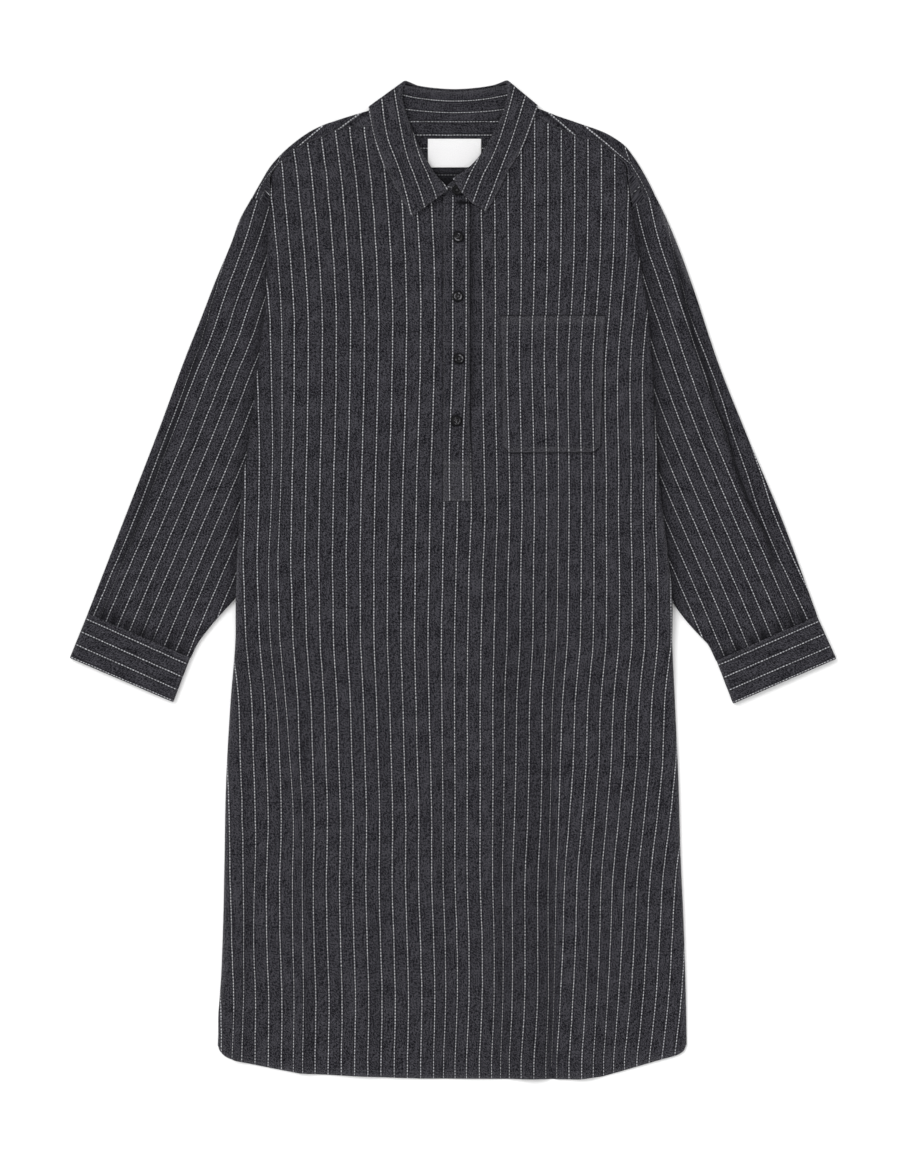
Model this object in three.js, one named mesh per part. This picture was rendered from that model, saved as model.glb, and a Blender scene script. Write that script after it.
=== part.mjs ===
// A long striped shirt dress laid flat: front over back, both sleeves tucked under the sides.
// Millimetres. x runs to the wearer's left, y from the hem to the collar, z up off the surface.
// The drafting origin is at the centre of the hem; the last lines move it to the middle of the box.
import * as THREE from 'three';

const { lerp, smoothstep, degToRad } = THREE.MathUtils;

// Rows of numbers under named columns
function table(names, rows) {
  const keys = names.split(' ');
  return rows.map((row) => Object.fromEntries(keys.map((key, column) => [key, row[column]])));
}

// Cloth, seams and the heights of the lying layers
const CLOTH = 1.2;
const CUFF_CLOTH = 1.8;
const SEAM = 0.3;
const LOW = CLOTH / 2;
const ROUND = 2.45;
const HIGH = LOW + 2 * ROUND;
const SLEEVE_TOP = HIGH + CLOTH / 2;
const HEM_LEVEL = 2.3;
const HEM_RUN = 70;

// Heights that the tucked sleeves give to the panels over them
const BACK_LIFT = SLEEVE_TOP + SEAM;
const FRONT_LIFT_AT_ARMHOLE = 3.1;
const FRONT_LIFT_AT_SIDE = 5.4;
const TUCK_MARGIN = 14;
const BACK_TUCK_RUN = 34;
const FRONT_TUCK_RUN = 95;

// Landmarks along the length
const YOKE_SEAM_BACK = 1000;
const UNDERARM = 740.6;
const SIDE_SEAM_TOP = 695;
const SLIT_FOOT = 665.8;
const NECK_END = 1017.2;

// Front slit, placket, pocket, label and buttons
const SLIT = { left: -12.9, right: 16.4 };
const PLACKET = { left: -13.8, right: 17.4 };
const UNDER_PLACKET = { left: -9, right: 16, foot: 668 };
const POCKET = {
  topLeft: 52.4, topRight: 172.2, footLeft: 55, footRight: 167, top: 879.5, foot: 721, corner: 9, hem: 19,
};
const LABEL = { left: -31, right: 30, foot: 1050, top: 1082.5, thickness: 1 };
const BUTTON = { radius: 5.75, thickness: 2.6, rim: 1.1, dish: 0.7 };
const BUTTON_PLACES = [
  { name: 'button_2', x: 3.7, y: 969.4 },
  { name: 'button_3', x: 3.2, y: 901 },
  { name: 'button_4', x: 4.8, y: 829.6 },
  { name: 'button_5', x: 1.5, y: 758.1 },
];
const COLLAR_BUTTON = { x: 2.3, y: 1023.2, z: 8.6 };

// Outline of the body, seen from above
const BODY_SIDES = table('y left right', [
  [36, -273.4, 266.8],
  [80, -271, 266],
  [179, -266.9, 263.1],
  [254, -265.3, 259.7],
  [337, -263.7, 257.4],
  [437, -258.2, 253],
  [506, -252.8, 250.1],
  [555, -252, 249.8],
  [613, -250, 244],
  [681, -245, 236],
  [731, -238, 232.5],
  [782, -231.4, 229.5],
  [840, -224.6, 226],
  [900, -217.8, 220],
  [951, -216.2, 211.6],
  [1002, -212.8, 203.2],
  [1040, -211.6, 198],
  [1051, -211.6, 196.7],
]);
const HEM = table('x y', [
  [-273.4, 40], [-270.5, 33], [-264, 26.5], [-253, 22], [-213, 14], [-179, 7.5], [-110, 4],
  [-40, 1.5], [97, 1], [143, 0.5], [170, 4], [194, 10.8], [232, 22], [256, 28.5], [263.5, 33.5],
  [266.8, 41],
]);

// Top edge of the front: yoke seam, then the neckline down to the slit, where the lengthwise lines end
const FRONT_TOP_LEFT = table('x y', [
  [-211.6, 1040], [-203, 1051.6], [-190, 1067.4], [-169, 1077.7], [-153, 1084.1],
  [-136.3, 1092.1], [-119.6, 1095.8], [-102.4, 1096.1], [-82, 1097.6], [-75.6, 1089],
  [-67.2, 1066.3], [-53.6, 1042.9], [-38.4, 1027.9], [-27.2, 1020.9], [SLIT.left, NECK_END],
]);
const FRONT_TOP_RIGHT = table('x y', [
  [SLIT.right, NECK_END], [26.4, 1020.2], [36.6, 1027.2], [51.6, 1042.2], [65.2, 1066.4],
  [73.9, 1090.4], [80.5, 1109], [93.7, 1108.4], [111, 1097.6], [127.2, 1090.5], [143.4, 1084.3],
  [158.7, 1080.4], [173.3, 1073.7], [187, 1061.4], [196.7, 1051],
]);

// Yoke: where it folds over the shoulder, and where its front and back edges are sewn
const YOKE_LEFT = table('foldX foldY frontX frontY backX backY', [
  [-233.4, 1015.2, -213.2, 1005.4, -212.4, 1005.4],
  [-222.6, 1034.2, -213, 1022, -204, 1000.4],
  [-214.5, 1047.6, -212.2, 1040.6, -194, 1000.4],
  [-206.5, 1058, -203.4, 1052.2, -184, 1000.4],
  [-190.9, 1073.3, -190.3, 1068, -172, 1000.4],
  [-169.7, 1089.2, -169.2, 1078.3, -157, 1000.4],
  [-152.1, 1098.3, -153.1, 1084.6, -141, 1000.4],
  [-138, 1103.2, -136.4, 1092.6, -126, 1000.4],
  [-124.2, 1107.7, -119.6, 1096.3, -112, 1000.4],
  [-105, 1113.4, -102.4, 1096.6, -97, 1000.4],
  [-83.5, 1119.6, -82, 1098.2, -80, 1000.4],
]);
const YOKE_NECK = table('x y', [
  [-78, 1118.7], [-66, 1111.7], [-52, 1106.3], [-37, 1101.8], [-18, 1099.8], [0, 1098.8],
  [18, 1099.8], [37, 1101.8], [52, 1106.5], [65, 1112.2], [76, 1119],
]);
const YOKE_RIGHT = table('foldX foldY frontX frontY backX backY', [
  [81.5, 1121.4, 80.5, 1109.6, 78, 1000.4],
  [96, 1117.4, 93.8, 1109, 94, 1000.4],
  [116.6, 1109.4, 111.3, 1098.1, 109, 1000.4],
  [134, 1103.5, 127.4, 1091, 124, 1000.4],
  [150.1, 1097.9, 143.5, 1084.8, 138, 1000.4],
  [163, 1093.5, 158.9, 1080.9, 150, 1000.4],
  [176.5, 1087.6, 173.6, 1074.2, 161, 1000.4],
  [194.1, 1075.9, 187.4, 1061.8, 172, 1000.4],
  [203.5, 1064.5, 197.4, 1051.4, 182, 1000.4],
  [212.5, 1051, 199.2, 1036, 191, 1000.4],
  [222.3, 1033.5, 201.6, 1020, 199, 1000.4],
  [230.4, 1017, 204.2, 1004.4, 203.2, 1004.4],
]);

// Sleeves: outer fold, armhole seam and underarm fold in plan, then the corners of the cuff
const LEFT = {
  side: -1,
  outer: table('x y', [
    [-234.3, 1013.2], [-247.3, 990.6], [-257.5, 962.6], [-275.2, 920.3], [-292.1, 876.5],
    [-312.2, 825.9], [-339.3, 752.1], [-381.8, 642], [-424.4, 531.8],
  ]),
  armhole: table('x y', [
    [-234.3, 1013.2], [-213.8, 1004.8], [-205.8, 971.7], [-189.7, 908.5], [-175.9, 839.5],
    [-164.4, 782], [-157.5, 740.6],
  ]),
  inner: table('x y', [
    [-157.5, 740.6], [-171.3, 707.2], [-192, 661.2], [-221.9, 602.6], [-251.8, 555.4],
    [-269.1, 535.9], [-281.8, 521], [-295.6, 502.6], [-306.5, 480.7],
  ]),
  cuff: { outerX: -443.1, outerY: 485.8, innerX: -324, innerY: 434.9 },
  fold: table('x y', [
    [-259, 934], [-288.7, 846.4], [-325.8, 741.8],
  ]),
  foldHeight: 1.6,
};
const RIGHT = {
  side: 1,
  outer: table('x y', [
    [231, 1014], [241.5, 994.9], [258.8, 958], [275.4, 907.4], [302.5, 825.7], [335.8, 741.8],
    [376.6, 644], [418.6, 529],
  ]),
  armhole: table('x y', [
    [231, 1014], [204.8, 1002.8], [199, 966], [186.3, 906.2], [173.6, 839.5], [162.1, 782],
    [157.5, 740.6],
  ]),
  inner: table('x y', [
    [157.5, 740.6], [171.3, 704.9], [190.9, 657.8], [219.6, 598], [250.1, 549.7], [265.3, 529],
    [281.8, 510.6], [291, 500.8], [302.7, 477.3],
  ]),
  cuff: { outerX: 438.6, outerY: 484.8, innerX: 319.7, innerY: 433.1 },
  fold: table('x y', [
    [245, 984.4], [265.3, 890.1], [302.5, 765.2], [329.4, 680.8], [359.7, 600.3],
  ]),
  foldHeight: 3.4,
};

// Collar stations from the wearer's right front end round the back to the left front end.
// neck is the seam to the body, roll where the stand meets the leaf, edge the leaf's free edge.
// turn is how far the leaf has swung from lying above the body (0) to lying under it (180).
const COLLAR = table('neckX neckY neckZ rollX rollY rollZ edgeX edgeY edgeZ turn', [
  [-12, 1017.8, 7, -8.5, 1023, 8.2, -49.1, 993.1, 7.4, 0],
  [-27, 1021.5, 5.8, -19, 1034, 7.5, -59.1, 1009.7, 7.4, 0],
  [-38, 1028.5, 5.5, -24.6, 1040.5, 7, -67, 1023, 7.3, 0],
  [-53, 1043.5, 5.5, -33.7, 1055.6, 7, -76, 1041, 7.3, 0],
  [-66.5, 1067, 5.5, -45.9, 1078.4, 7, -85.8, 1061, 7.3, 0],
  [-74.8, 1092.5, 5.5, -56.6, 1106.4, 7, -93.3, 1087.5, 7.3, 0],
  [-78.2, 1108, 5.4, -62, 1126.2, 6.9, -97.4, 1107.6, 7.3, 0],
  [-80, 1116.5, 4.9, -61.5, 1137, 6.4, -98.9, 1116, 6.9, 45],
  [-79.8, 1119.6, 3.8, -57, 1145.5, 5.2, -98.9, 1119.4, 4, 90],
  [-78, 1119.3, 2.7, -52, 1145, 4.2, -97.3, 1117.4, 0.8, 135],
  [-66, 1112.3, 2.1, -44, 1142.6, 3.5, -90, 1109, 0.6, 180],
  [-37, 1102.4, 2.1, -27, 1139.8, 3.5, -58, 1099, 0.6, 180],
  [0, 1099.4, 2.1, 0, 1137.9, 3.5, 0, 1094.8, 0.6, 180],
  [37, 1102.4, 2.1, 28, 1140, 3.5, 58, 1099, 0.6, 180],
  [65, 1112.8, 2.1, 46, 1143.2, 3.5, 87, 1109, 0.6, 180],
  [76, 1119.7, 2.7, 54, 1145.2, 4.2, 93, 1119.4, 0.8, 135],
  [78, 1120.2, 3.8, 59.5, 1146, 5.2, 94.6, 1121, 4, 90],
  [78, 1117, 4.9, 61.5, 1137, 6.4, 94.6, 1117.2, 6.9, 45],
  [76.5, 1108, 5.4, 61.4, 1126.2, 6.9, 92.5, 1110, 7.3, 0],
  [73, 1091, 5.5, 55.4, 1107.7, 7, 86.7, 1094, 7.3, 0],
  [64.5, 1067, 5.5, 44.7, 1085.7, 7, 75.5, 1068, 7.3, 0],
  [51, 1043, 5.5, 32, 1064, 7, 62, 1047, 7.3, 0],
  [36, 1028, 5.5, 19.8, 1050, 6.9, 51.5, 1026, 7.3, 0],
  [26, 1021, 5.5, 9.9, 1042, 6.7, 45.5, 1014.3, 7.4, 0],
  [12, 1017.8, 5.5, -1.2, 1035, 6.6, 36.3, 999, 7.6, 0],
]);
// Ends of the stand past the leaf: the wearer's right end lies on the left end
const STAND_TOP_END = table('neckX neckY neckZ rollX rollY rollZ', [
  [8, 1018.4, 7, 9, 1026, 7.9],
  [-2, 1017.6, 7, 0, 1029, 8.1],
]);
const STAND_UNDER_END = table('neckX neckY neckZ rollX rollY rollZ', [
  [2, 1017.5, 5.5, -6, 1032, 6.5],
  [-9, 1018, 5.5, -11, 1027, 6.3],
]);
const ROLL_ABOVE = 1.8;
const ROLL_BELOW = 1.45;
const STAND_TURN_GAP = 1.8;

// The largest soft folds of the front: a ridge along a line, so wide and so high
const FRONT_FOLDS = table('x0 y0 x1 y1 width height', [
  [80, 470, 88, 2, 15, 5],
  [141, 330, 150, 2, 13, 2.6],
  [-176, 330, -174, 8, 12, 2.4],
  [-240, 280, -249, 26, 8, 2.2],
  [-96, 420, -104, 4, 20, 1.8],
  [-140, 760, -60, 520, 22, 1.6],
  [140, 700, 70, 540, 20, 1.6],
]);

// Curves and outlines

function between(rows, key, value, at) {
  const last = rows.length - 1;
  const step = rows[last][key] > rows[0][key] ? 1 : -1;
  let index = 0;
  while (index < last - 1 && step * (at - rows[index + 1][key]) > 0) index += 1;
  const share = (at - rows[index][key]) / (rows[index + 1][key] - rows[index][key]);
  return lerp(rows[index][value], rows[index + 1][value], Math.min(1, Math.max(0, share)));
}

const planPoint = ({ x, y }) => new THREE.Vector2(x, y);

function planCurve(rows) {
  const points = rows.map(({ x, y }) => new THREE.Vector3(x, y, 0));
  return new THREE.CatmullRomCurve3(points, false, 'centripetal');
}

const hemAt = (x) => between(HEM, 'x', 'y', x);
const sideAt = (y, edge) => between(BODY_SIDES, 'y', edge, y);

// Distance from a sleeve's inner outline towards the centre of the body
function clearOfSleeve(sleeve, x, y) {
  const outline = [...sleeve.armhole.slice(1), ...sleeve.inner.slice(1), { x: sleeve.side * 420, y: 380 }];
  const edge = between(outline, 'y', 'x', y);
  return (edge - x) * sleeve.side * 0.8;
}

function tuck(x, y, run) {
  const near = Math.min(clearOfSleeve(LEFT, x, y), clearOfSleeve(RIGHT, x, y));
  return 1 - smoothstep(near, TUCK_MARGIN, run);
}

// A soft ridge of cloth along a line, fading out towards its two ends
function ridge({ x0, y0, x1, y1, width, height }, x, y) {
  const length = Math.hypot(x1 - x0, y1 - y0);
  const along = ((x - x0) * (x1 - x0) + (y - y0) * (y1 - y0)) / length;
  const across = ((x - x0) * (y1 - y0) - (y - y0) * (x1 - x0)) / length;
  const fade = smoothstep(along, 0, length * 0.35) * (1 - smoothstep(along, length, length + 4 * width));
  return height * fade * Math.exp(-((across / width) ** 2));
}

// Middle of the back panel's wall above the surface
function backLevel(x, y) {
  const climb = 1 - smoothstep(y, UNDERARM + 6, UNDERARM + 60);
  return LOW + BACK_LIFT * tuck(x, y, BACK_TUCK_RUN) * climb;
}

// Middle of the front panel's wall, away from its rounded sides
function frontLevel(x, y) {
  const share = smoothstep(y, 710, 770);
  const lift = lerp(FRONT_LIFT_AT_SIDE, FRONT_LIFT_AT_ARMHOLE, share);
  const cap = 1 - smoothstep(y, 1010, 1038);
  const rest = (HIGH - HEM_LEVEL) * (1 - smoothstep(y - hemAt(x), 0, HEM_RUN));
  const folds = FRONT_FOLDS.reduce((sum, fold) => sum + ridge(fold, x, y), 0);
  return HIGH - rest + lift * tuck(x, y, FRONT_TUCK_RUN) * cap + folds;
}

// How far the front comes down at its side: to the back panel, or to the sleeve at the armhole
function sideDrop(x, y) {
  const level = frontLevel(x, y);
  const onSleeve = SLEEVE_TOP + SEAM;
  const onBack = backLevel(x, y) + CLOTH / 2 + SEAM;
  const foot = lerp(onBack, onSleeve, smoothstep(y, SIDE_SEAM_TOP + 5, SIDE_SEAM_TOP + 25));
  const cap = 1 - smoothstep(y, 1010, 1038);
  return Math.max(0, level - foot) * (y > UNDERARM ? cap : 1);
}

// Walls

// A wall of even thickness on a grid of middle points; a ring closes on itself across the columns.
function wall({ rows, columns, at, thickness = CLOTH, keep = () => true, ring = false }) {
  const middle = [];
  for (let i = 0; i < rows; i += 1) {
    middle.push([]);
    for (let j = 0; j < columns; j += 1) middle[i].push(at(i, j));
  }
  const cells = [];
  const across = ring ? columns : columns - 1;
  for (let i = 0; i < rows - 1; i += 1) {
    for (let j = 0; j < across; j += 1) {
      if (!keep(i, j)) continue;
      const next = (j + 1) % columns;
      cells.push([[i, j], [i, next], [i + 1, next], [i + 1, j]]);
    }
  }
  const key = ([i, j]) => i * columns + j;
  const normals = new Map();
  for (const cell of cells) {
    const [a, b, c, d] = cell.map(([i, j]) => middle[i][j]);
    const normal = c.clone().sub(a).cross(d.clone().sub(b));
    for (const node of cell) {
      if (!normals.has(key(node))) normals.set(key(node), new THREE.Vector3());
      normals.get(key(node)).add(normal);
    }
  }
  const positions = [];
  const upper = new Map();
  const lower = new Map();
  for (const [node, normal] of normals) {
    const point = middle[Math.floor(node / columns)][node % columns];
    const half = normal.normalize().multiplyScalar(thickness / 2);
    upper.set(node, positions.length / 3);
    positions.push(...point.clone().add(half).toArray());
    lower.set(node, positions.length / 3);
    positions.push(...point.clone().sub(half).toArray());
  }
  const index = [];
  const edges = new Map();
  for (const cell of cells) {
    const [a, b, c, d] = cell.map(key);
    index.push(upper.get(a), upper.get(b), upper.get(c), upper.get(a), upper.get(c), upper.get(d));
    index.push(lower.get(a), lower.get(c), lower.get(b), lower.get(a), lower.get(d), lower.get(c));
    for (const [from, to] of [[a, b], [b, c], [c, d], [d, a]]) edges.set(`${from},${to}`, [from, to]);
  }
  for (const [from, to] of edges.values()) {
    if (edges.has(`${to},${from}`)) continue;
    index.push(lower.get(from), lower.get(to), upper.get(to), lower.get(from), upper.get(to), upper.get(from));
  }
  const geometry = new THREE.BufferGeometry();
  geometry.setAttribute('position', new THREE.Float32BufferAttribute(positions, 3));
  geometry.setIndex(index);
  geometry.computeVertexNormals();
  return geometry;
}

// Evenly spaced values from start to end, both included
function steps(start, end, count) {
  return Array.from({ length: count + 1 }, (_, k) => lerp(start, end, k / count));
}

// Heights of the crosswise lines that front and back share, and how they follow the curved hem
const BODY_ROWS = [0, 70, 150, 240, 330, 410, 470, 505, 530, 555, 580, 607, 636, SLIT_FOOT];
const HEM_REACH = 200;

function aboveHem(level, hem) {
  return level + hem * (1 - smoothstep(level, 0, HEM_REACH));
}

// Front panel: lengthwise lines run from the hem to the top edge, round the slit
const SIDE_ROLL = [0, 0.6, 2, 4];

function frontColumns(top, edge) {
  const outer = edge === 'left' ? top[0] : top[top.length - 1];
  const slit = edge === 'left' ? SLIT.left : SLIT.right;
  const sign = edge === 'left' ? 1 : -1;
  const inner = edge === 'left' ? top.slice(1) : top.slice(0, -1);
  const topAt = (offset) => between(top, 'x', 'y', outer.x + offset);
  const roll = SIDE_ROLL.map((offset) => ({
    edge, slit, offset: offset * sign, share: 1, top: topAt(offset * sign), roll: offset,
  }));
  const reach = SIDE_ROLL[SIDE_ROLL.length - 1] * sign;
  const rest = inner.map(({ x, y }) => ({
    edge, slit, offset: reach, share: (x - slit) / (outer.x + reach - slit), top: y, roll: null,
  }));
  return edge === 'left' ? [...roll, ...rest] : [...rest, ...roll.reverse()];
}

function columnX(column, y) {
  const outer = sideAt(y, column.edge) + column.offset;
  return lerp(column.slit, outer, column.share);
}

function frontPoint(column, y) {
  const x = columnX(column, y);
  let z = frontLevel(x, y);
  if (column.roll !== null) {
    const run = SIDE_ROLL[SIDE_ROLL.length - 1];
    const rise = Math.sqrt(1 - (1 - column.roll / run) ** 2);
    z -= sideDrop(x, y) * (1 - rise);
  }
  const inset = column.roll === null ? 0 : (CLOTH / 2) * (column.edge === 'left' ? 1 : -1);
  const share = column.roll === null ? 0 : 1 - column.roll / SIDE_ROLL[SIDE_ROLL.length - 1];
  return new THREE.Vector3(x + inset * share, y, z);
}

function front() {
  const columns = [...frontColumns(FRONT_TOP_LEFT, 'left'), ...frontColumns(FRONT_TOP_RIGHT, 'right')];
  const slit = columns.findIndex((column) => column.edge === 'right') - 1;
  const above = steps(0, 1, 10).slice(1);
  const rows = BODY_ROWS.length + above.length;
  return wall({
    rows,
    columns: columns.length,
    keep: (i, j) => j !== slit || i < BODY_ROWS.length - 1,
    at: (i, j) => {
      const column = columns[j];
      const hem = hemAt(columnX(column, HEM[0].y));
      const y = i < BODY_ROWS.length
        ? aboveHem(BODY_ROWS[i], hem)
        : lerp(SLIT_FOOT, column.top, above[i - BODY_ROWS.length]);
      return frontPoint(column, y);
    },
  });
}

// Back panel: flat on the surface, over the sleeves below the underarm, cut out at the armholes
function backEdge(sleeve, y) {
  const edge = sleeve.side < 0 ? 'left' : 'right';
  const side = sideAt(y, edge) - sleeve.side * 0.9;
  const armhole = between(sleeve.armhole, 'y', 'x', y) - sleeve.side * 0.6;
  if (y > UNDERARM) return armhole;
  return lerp(side, armhole, Math.max(0, (y - SIDE_SEAM_TOP) / (UNDERARM - SIDE_SEAM_TOP)));
}

const BACK_ROWS = [
  ...BODY_ROWS, ...steps(SIDE_SEAM_TOP, UNDERARM, 4), ...steps(755, 815, 4), ...steps(860, YOKE_SEAM_BACK, 3),
];

function back() {
  const across = [...steps(0, 0.2, 5), ...steps(0.2, 0.8, 7).slice(1), ...steps(0.8, 1, 5).slice(1)];
  return wall({
    rows: BACK_ROWS.length,
    columns: across.length,
    at: (i, j) => {
      const level = BACK_ROWS[i];
      const left = backEdge(LEFT, Math.max(level, HEM[0].y));
      const right = backEdge(RIGHT, Math.max(level, HEM[0].y));
      const x = lerp(left, right, across[j]);
      const y = aboveHem(level, hemAt(x) + 1.5);
      return new THREE.Vector3(x, y, backLevel(x, y));
    },
  });
}

// Yoke: one wall from the back seam, round the fold at each shoulder, to the front seam
const YOKE_BACK_COLUMNS = 7;
const YOKE_FOLD_COLUMNS = 5;
const YOKE_TOP_COLUMNS = 3;
const YOKE_LIFT = 1.5;

const YOKE_RISE = { from: 1082, to: 1090 };

function yokeLow(x, y) {
  const nearNeck = 1 - smoothstep(Math.abs(x), 103, 122);
  return LOW + YOKE_LIFT * nearNeck * smoothstep(y, YOKE_RISE.from, YOKE_RISE.to);
}

// Crosswise lines of the yoke, which take in its rise over the collar near the neck
function yokeShares(from, to) {
  if (to < YOKE_RISE.to + 5) return steps(0, 1, YOKE_BACK_COLUMNS - 1);
  const heights = [from, 1028, 1056, YOKE_RISE.from, YOKE_RISE.to, (YOKE_RISE.to + to) / 2, to];
  return heights.map((height) => (height - from) / (to - from));
}

function shoulderRow({ foldX, foldY, frontX, frontY, backX, backY }) {
  const low = yokeLow(foldX, foldY);
  const radius = (HIGH - low) / 2;
  const back2 = new THREE.Vector2(backX, backY);
  const fold = new THREE.Vector2(foldX, foldY);
  const front2 = new THREE.Vector2(frontX, frontY);
  const inwardBack = back2.clone().sub(fold).normalize();
  const inwardFront = front2.clone().sub(fold).normalize();
  const reach = Math.min(radius + CLOTH / 2, front2.distanceTo(fold) * 0.6);
  const points = [];
  const lowStart = fold.clone().addScaledVector(inwardBack, radius + CLOTH / 2);
  for (const share of yokeShares(backY, lowStart.y)) {
    const plan = back2.clone().lerp(lowStart, share);
    points.push(new THREE.Vector3(plan.x, plan.y, yokeLow(plan.x, plan.y)));
  }
  for (const angle of steps(-90, 90, YOKE_FOLD_COLUMNS + 1).slice(1, -1)) {
    const turn = degToRad(angle);
    const inward = inwardBack.clone().lerp(inwardFront, (Math.sin(turn) + 1) / 2).normalize();
    const depth = reach - (reach - CLOTH / 2) * Math.cos(turn);
    const plan = fold.clone().addScaledVector(inward, depth);
    points.push(new THREE.Vector3(plan.x, plan.y, low + radius + radius * Math.sin(turn)));
  }
  const highStart = fold.clone().addScaledVector(inwardFront, reach);
  for (const share of steps(0, 1, YOKE_TOP_COLUMNS - 1)) {
    const plan = highStart.clone().lerp(front2, share);
    points.push(new THREE.Vector3(plan.x, plan.y, HIGH));
  }
  return points;
}

function neckRow({ x, y }) {
  const points = [];
  for (const share of yokeShares(YOKE_SEAM_BACK + 0.4, y)) {
    const height = lerp(YOKE_SEAM_BACK + 0.4, y, share);
    points.push(new THREE.Vector3(x, height, yokeLow(x, height)));
  }
  while (points.length < YOKE_BACK_COLUMNS + YOKE_FOLD_COLUMNS + YOKE_TOP_COLUMNS) points.push(points.at(-1));
  return points;
}

function yoke() {
  const grid = [...YOKE_LEFT.map(shoulderRow), ...YOKE_NECK.map(neckRow), ...YOKE_RIGHT.map(shoulderRow)];
  const neckStart = YOKE_LEFT.length - 1;
  const neckEnd = YOKE_LEFT.length + YOKE_NECK.length;
  return wall({
    rows: grid.length,
    columns: grid[0].length,
    at: (i, j) => grid[i][j],
    keep: (i, j) => i < neckStart || i >= neckEnd || j < YOKE_BACK_COLUMNS - 1,
  });
}

// Flattened tubes: a section goes over the top, round the inner fold, back below, round the outer one
function tubeSection(width, topCount, bottomCount) {
  const reach = ROUND + CLOTH / 2;
  const section = steps(reach, width - reach, topCount).map((across) => ({ across, rise: 1, top: true }));
  for (const angle of [45, 0, -45]) {
    const turn = degToRad(angle);
    section.push({ across: width - reach + ROUND * Math.cos(turn), rise: Math.sin(turn), top: false });
  }
  for (const across of steps(width - reach, reach, bottomCount)) section.push({ across, rise: -1, top: false });
  for (const angle of [-45, 0, 45]) {
    const turn = degToRad(angle);
    section.push({ across: reach - ROUND * Math.cos(turn), rise: Math.sin(turn), top: false });
  }
  return section;
}

const SLEEVE_ROWS = 17;
const SLEEVE_TOP_CELLS = 13;
const SLEEVE_BOTTOM_CELLS = 5;
// Widths of the long fold on its two sides, and the length over which its ends fade
const FOLD = { inner: 12, outer: 4, end: 60 };
// Pleats gathered into the cuff over the last part of the sleeve
const PUCKERS = { count: 7, height: 0.8, from: 0.9, to: 0.98 };
// Both start this far in from the sleeve's edges, at full height from the second distance on
const RELIEF_MARGIN = { none: 3, full: 16 };

// The long lapped fold of a sleeve: steep on the outer side, soft on the inner side
function sleeveFold(sleeve, x, y) {
  const line = between(sleeve.fold, 'y', 'x', y);
  const inward = (line - x) * sleeve.side;
  const ends = smoothstep(y, sleeve.fold.at(-1).y, sleeve.fold.at(-1).y + FOLD.end)
    * (1 - smoothstep(y, sleeve.fold[0].y - FOLD.end, sleeve.fold[0].y));
  const width = inward > 0 ? FOLD.inner : FOLD.outer;
  return sleeve.foldHeight * ends * Math.exp(-((inward / width) ** 2));
}

function sleeve(sleeveData) {
  const { outer, inner, armhole } = sleeveData;
  const outerCurve = planCurve(outer);
  const innerCurve = planCurve(inner);
  const armholeCurve = planCurve(armhole);
  const plan = (share, along) => {
    const straight = outerCurve.getPointAt(along).lerp(innerCurve.getPointAt(along), share);
    const chord = outerCurve.getPointAt(0).lerp(innerCurve.getPointAt(0), share);
    const bow = armholeCurve.getPointAt(share).sub(chord);
    return straight.addScaledVector(bow, 1 - along);
  };
  const capWidth = planPoint(outer[0]).distanceTo(planPoint(inner[0]));
  const columns = tubeSection(capWidth, SLEEVE_TOP_CELLS, SLEEVE_BOTTOM_CELLS).length;
  return wall({
    rows: SLEEVE_ROWS,
    columns,
    ring: true,
    at: (i, j) => {
      const along = i / (SLEEVE_ROWS - 1);
      const width = plan(0, along).distanceTo(plan(1, along));
      const { across, rise, top } = tubeSection(width, SLEEVE_TOP_CELLS, SLEEVE_BOTTOM_CELLS)[j];
      const point = plan(across / width, along);
      let z = LOW + ROUND + ROUND * rise;
      if (top) {
        const fromEdge = smoothstep(Math.min(across, width - across), RELIEF_MARGIN.none, RELIEF_MARGIN.full);
        const nearCuff = PUCKERS.height * smoothstep(along, PUCKERS.from, PUCKERS.to);
        z += fromEdge * sleeveFold(sleeveData, point.x, point.y);
        z += fromEdge * nearCuff * Math.sin(PUCKERS.count * 2 * Math.PI * (across / width));
      }
      return new THREE.Vector3(point.x, point.y, z);
    },
  });
}

const CUFF_ROUND = 2.45;
const CUFF_TOP_CELLS = 8;
const CUFF_BOTTOM_CELLS = 4;

function cuff({ outer, inner, cuff: end }) {
  const top = { outer: outer.at(-1), inner: inner.at(-1) };
  const foot = { outer: { x: end.outerX, y: end.outerY }, inner: { x: end.innerX, y: end.innerY } };
  const depth = Math.hypot(foot.outer.x - top.outer.x, foot.outer.y - top.outer.y);
  const start = (SEAM + 0.1) / depth;
  const shares = [start, 0.34, 0.67, 1];
  const columns = tubeSection(depth, CUFF_TOP_CELLS, CUFF_BOTTOM_CELLS).length;
  return wall({
    rows: shares.length,
    columns,
    ring: true,
    thickness: CUFF_CLOTH,
    at: (i, j) => {
      const a = planPoint(top.outer).lerp(planPoint(foot.outer), shares[i]);
      const b = planPoint(top.inner).lerp(planPoint(foot.inner), shares[i]);
      const width = a.distanceTo(b);
      const { across, rise } = tubeSection(width, CUFF_TOP_CELLS, CUFF_BOTTOM_CELLS)[j];
      const inset = (CUFF_CLOTH - CLOTH) / 2 / width;
      const point = a.lerp(b, lerp(inset, 1 - inset, across / width));
      return new THREE.Vector3(point.x, point.y, CUFF_CLOTH / 2 + CUFF_ROUND + CUFF_ROUND * rise);
    },
  });
}

// Collar: smooth lines through the stations, cut into rows; the leaf turns over the stand's top edge
function stationCurve(stations, part) {
  const points = stations.map((row) => new THREE.Vector3(row[`${part}X`], row[`${part}Y`], row[`${part}Z`]));
  return new THREE.CatmullRomCurve3(points, false, 'centripetal');
}

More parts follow.
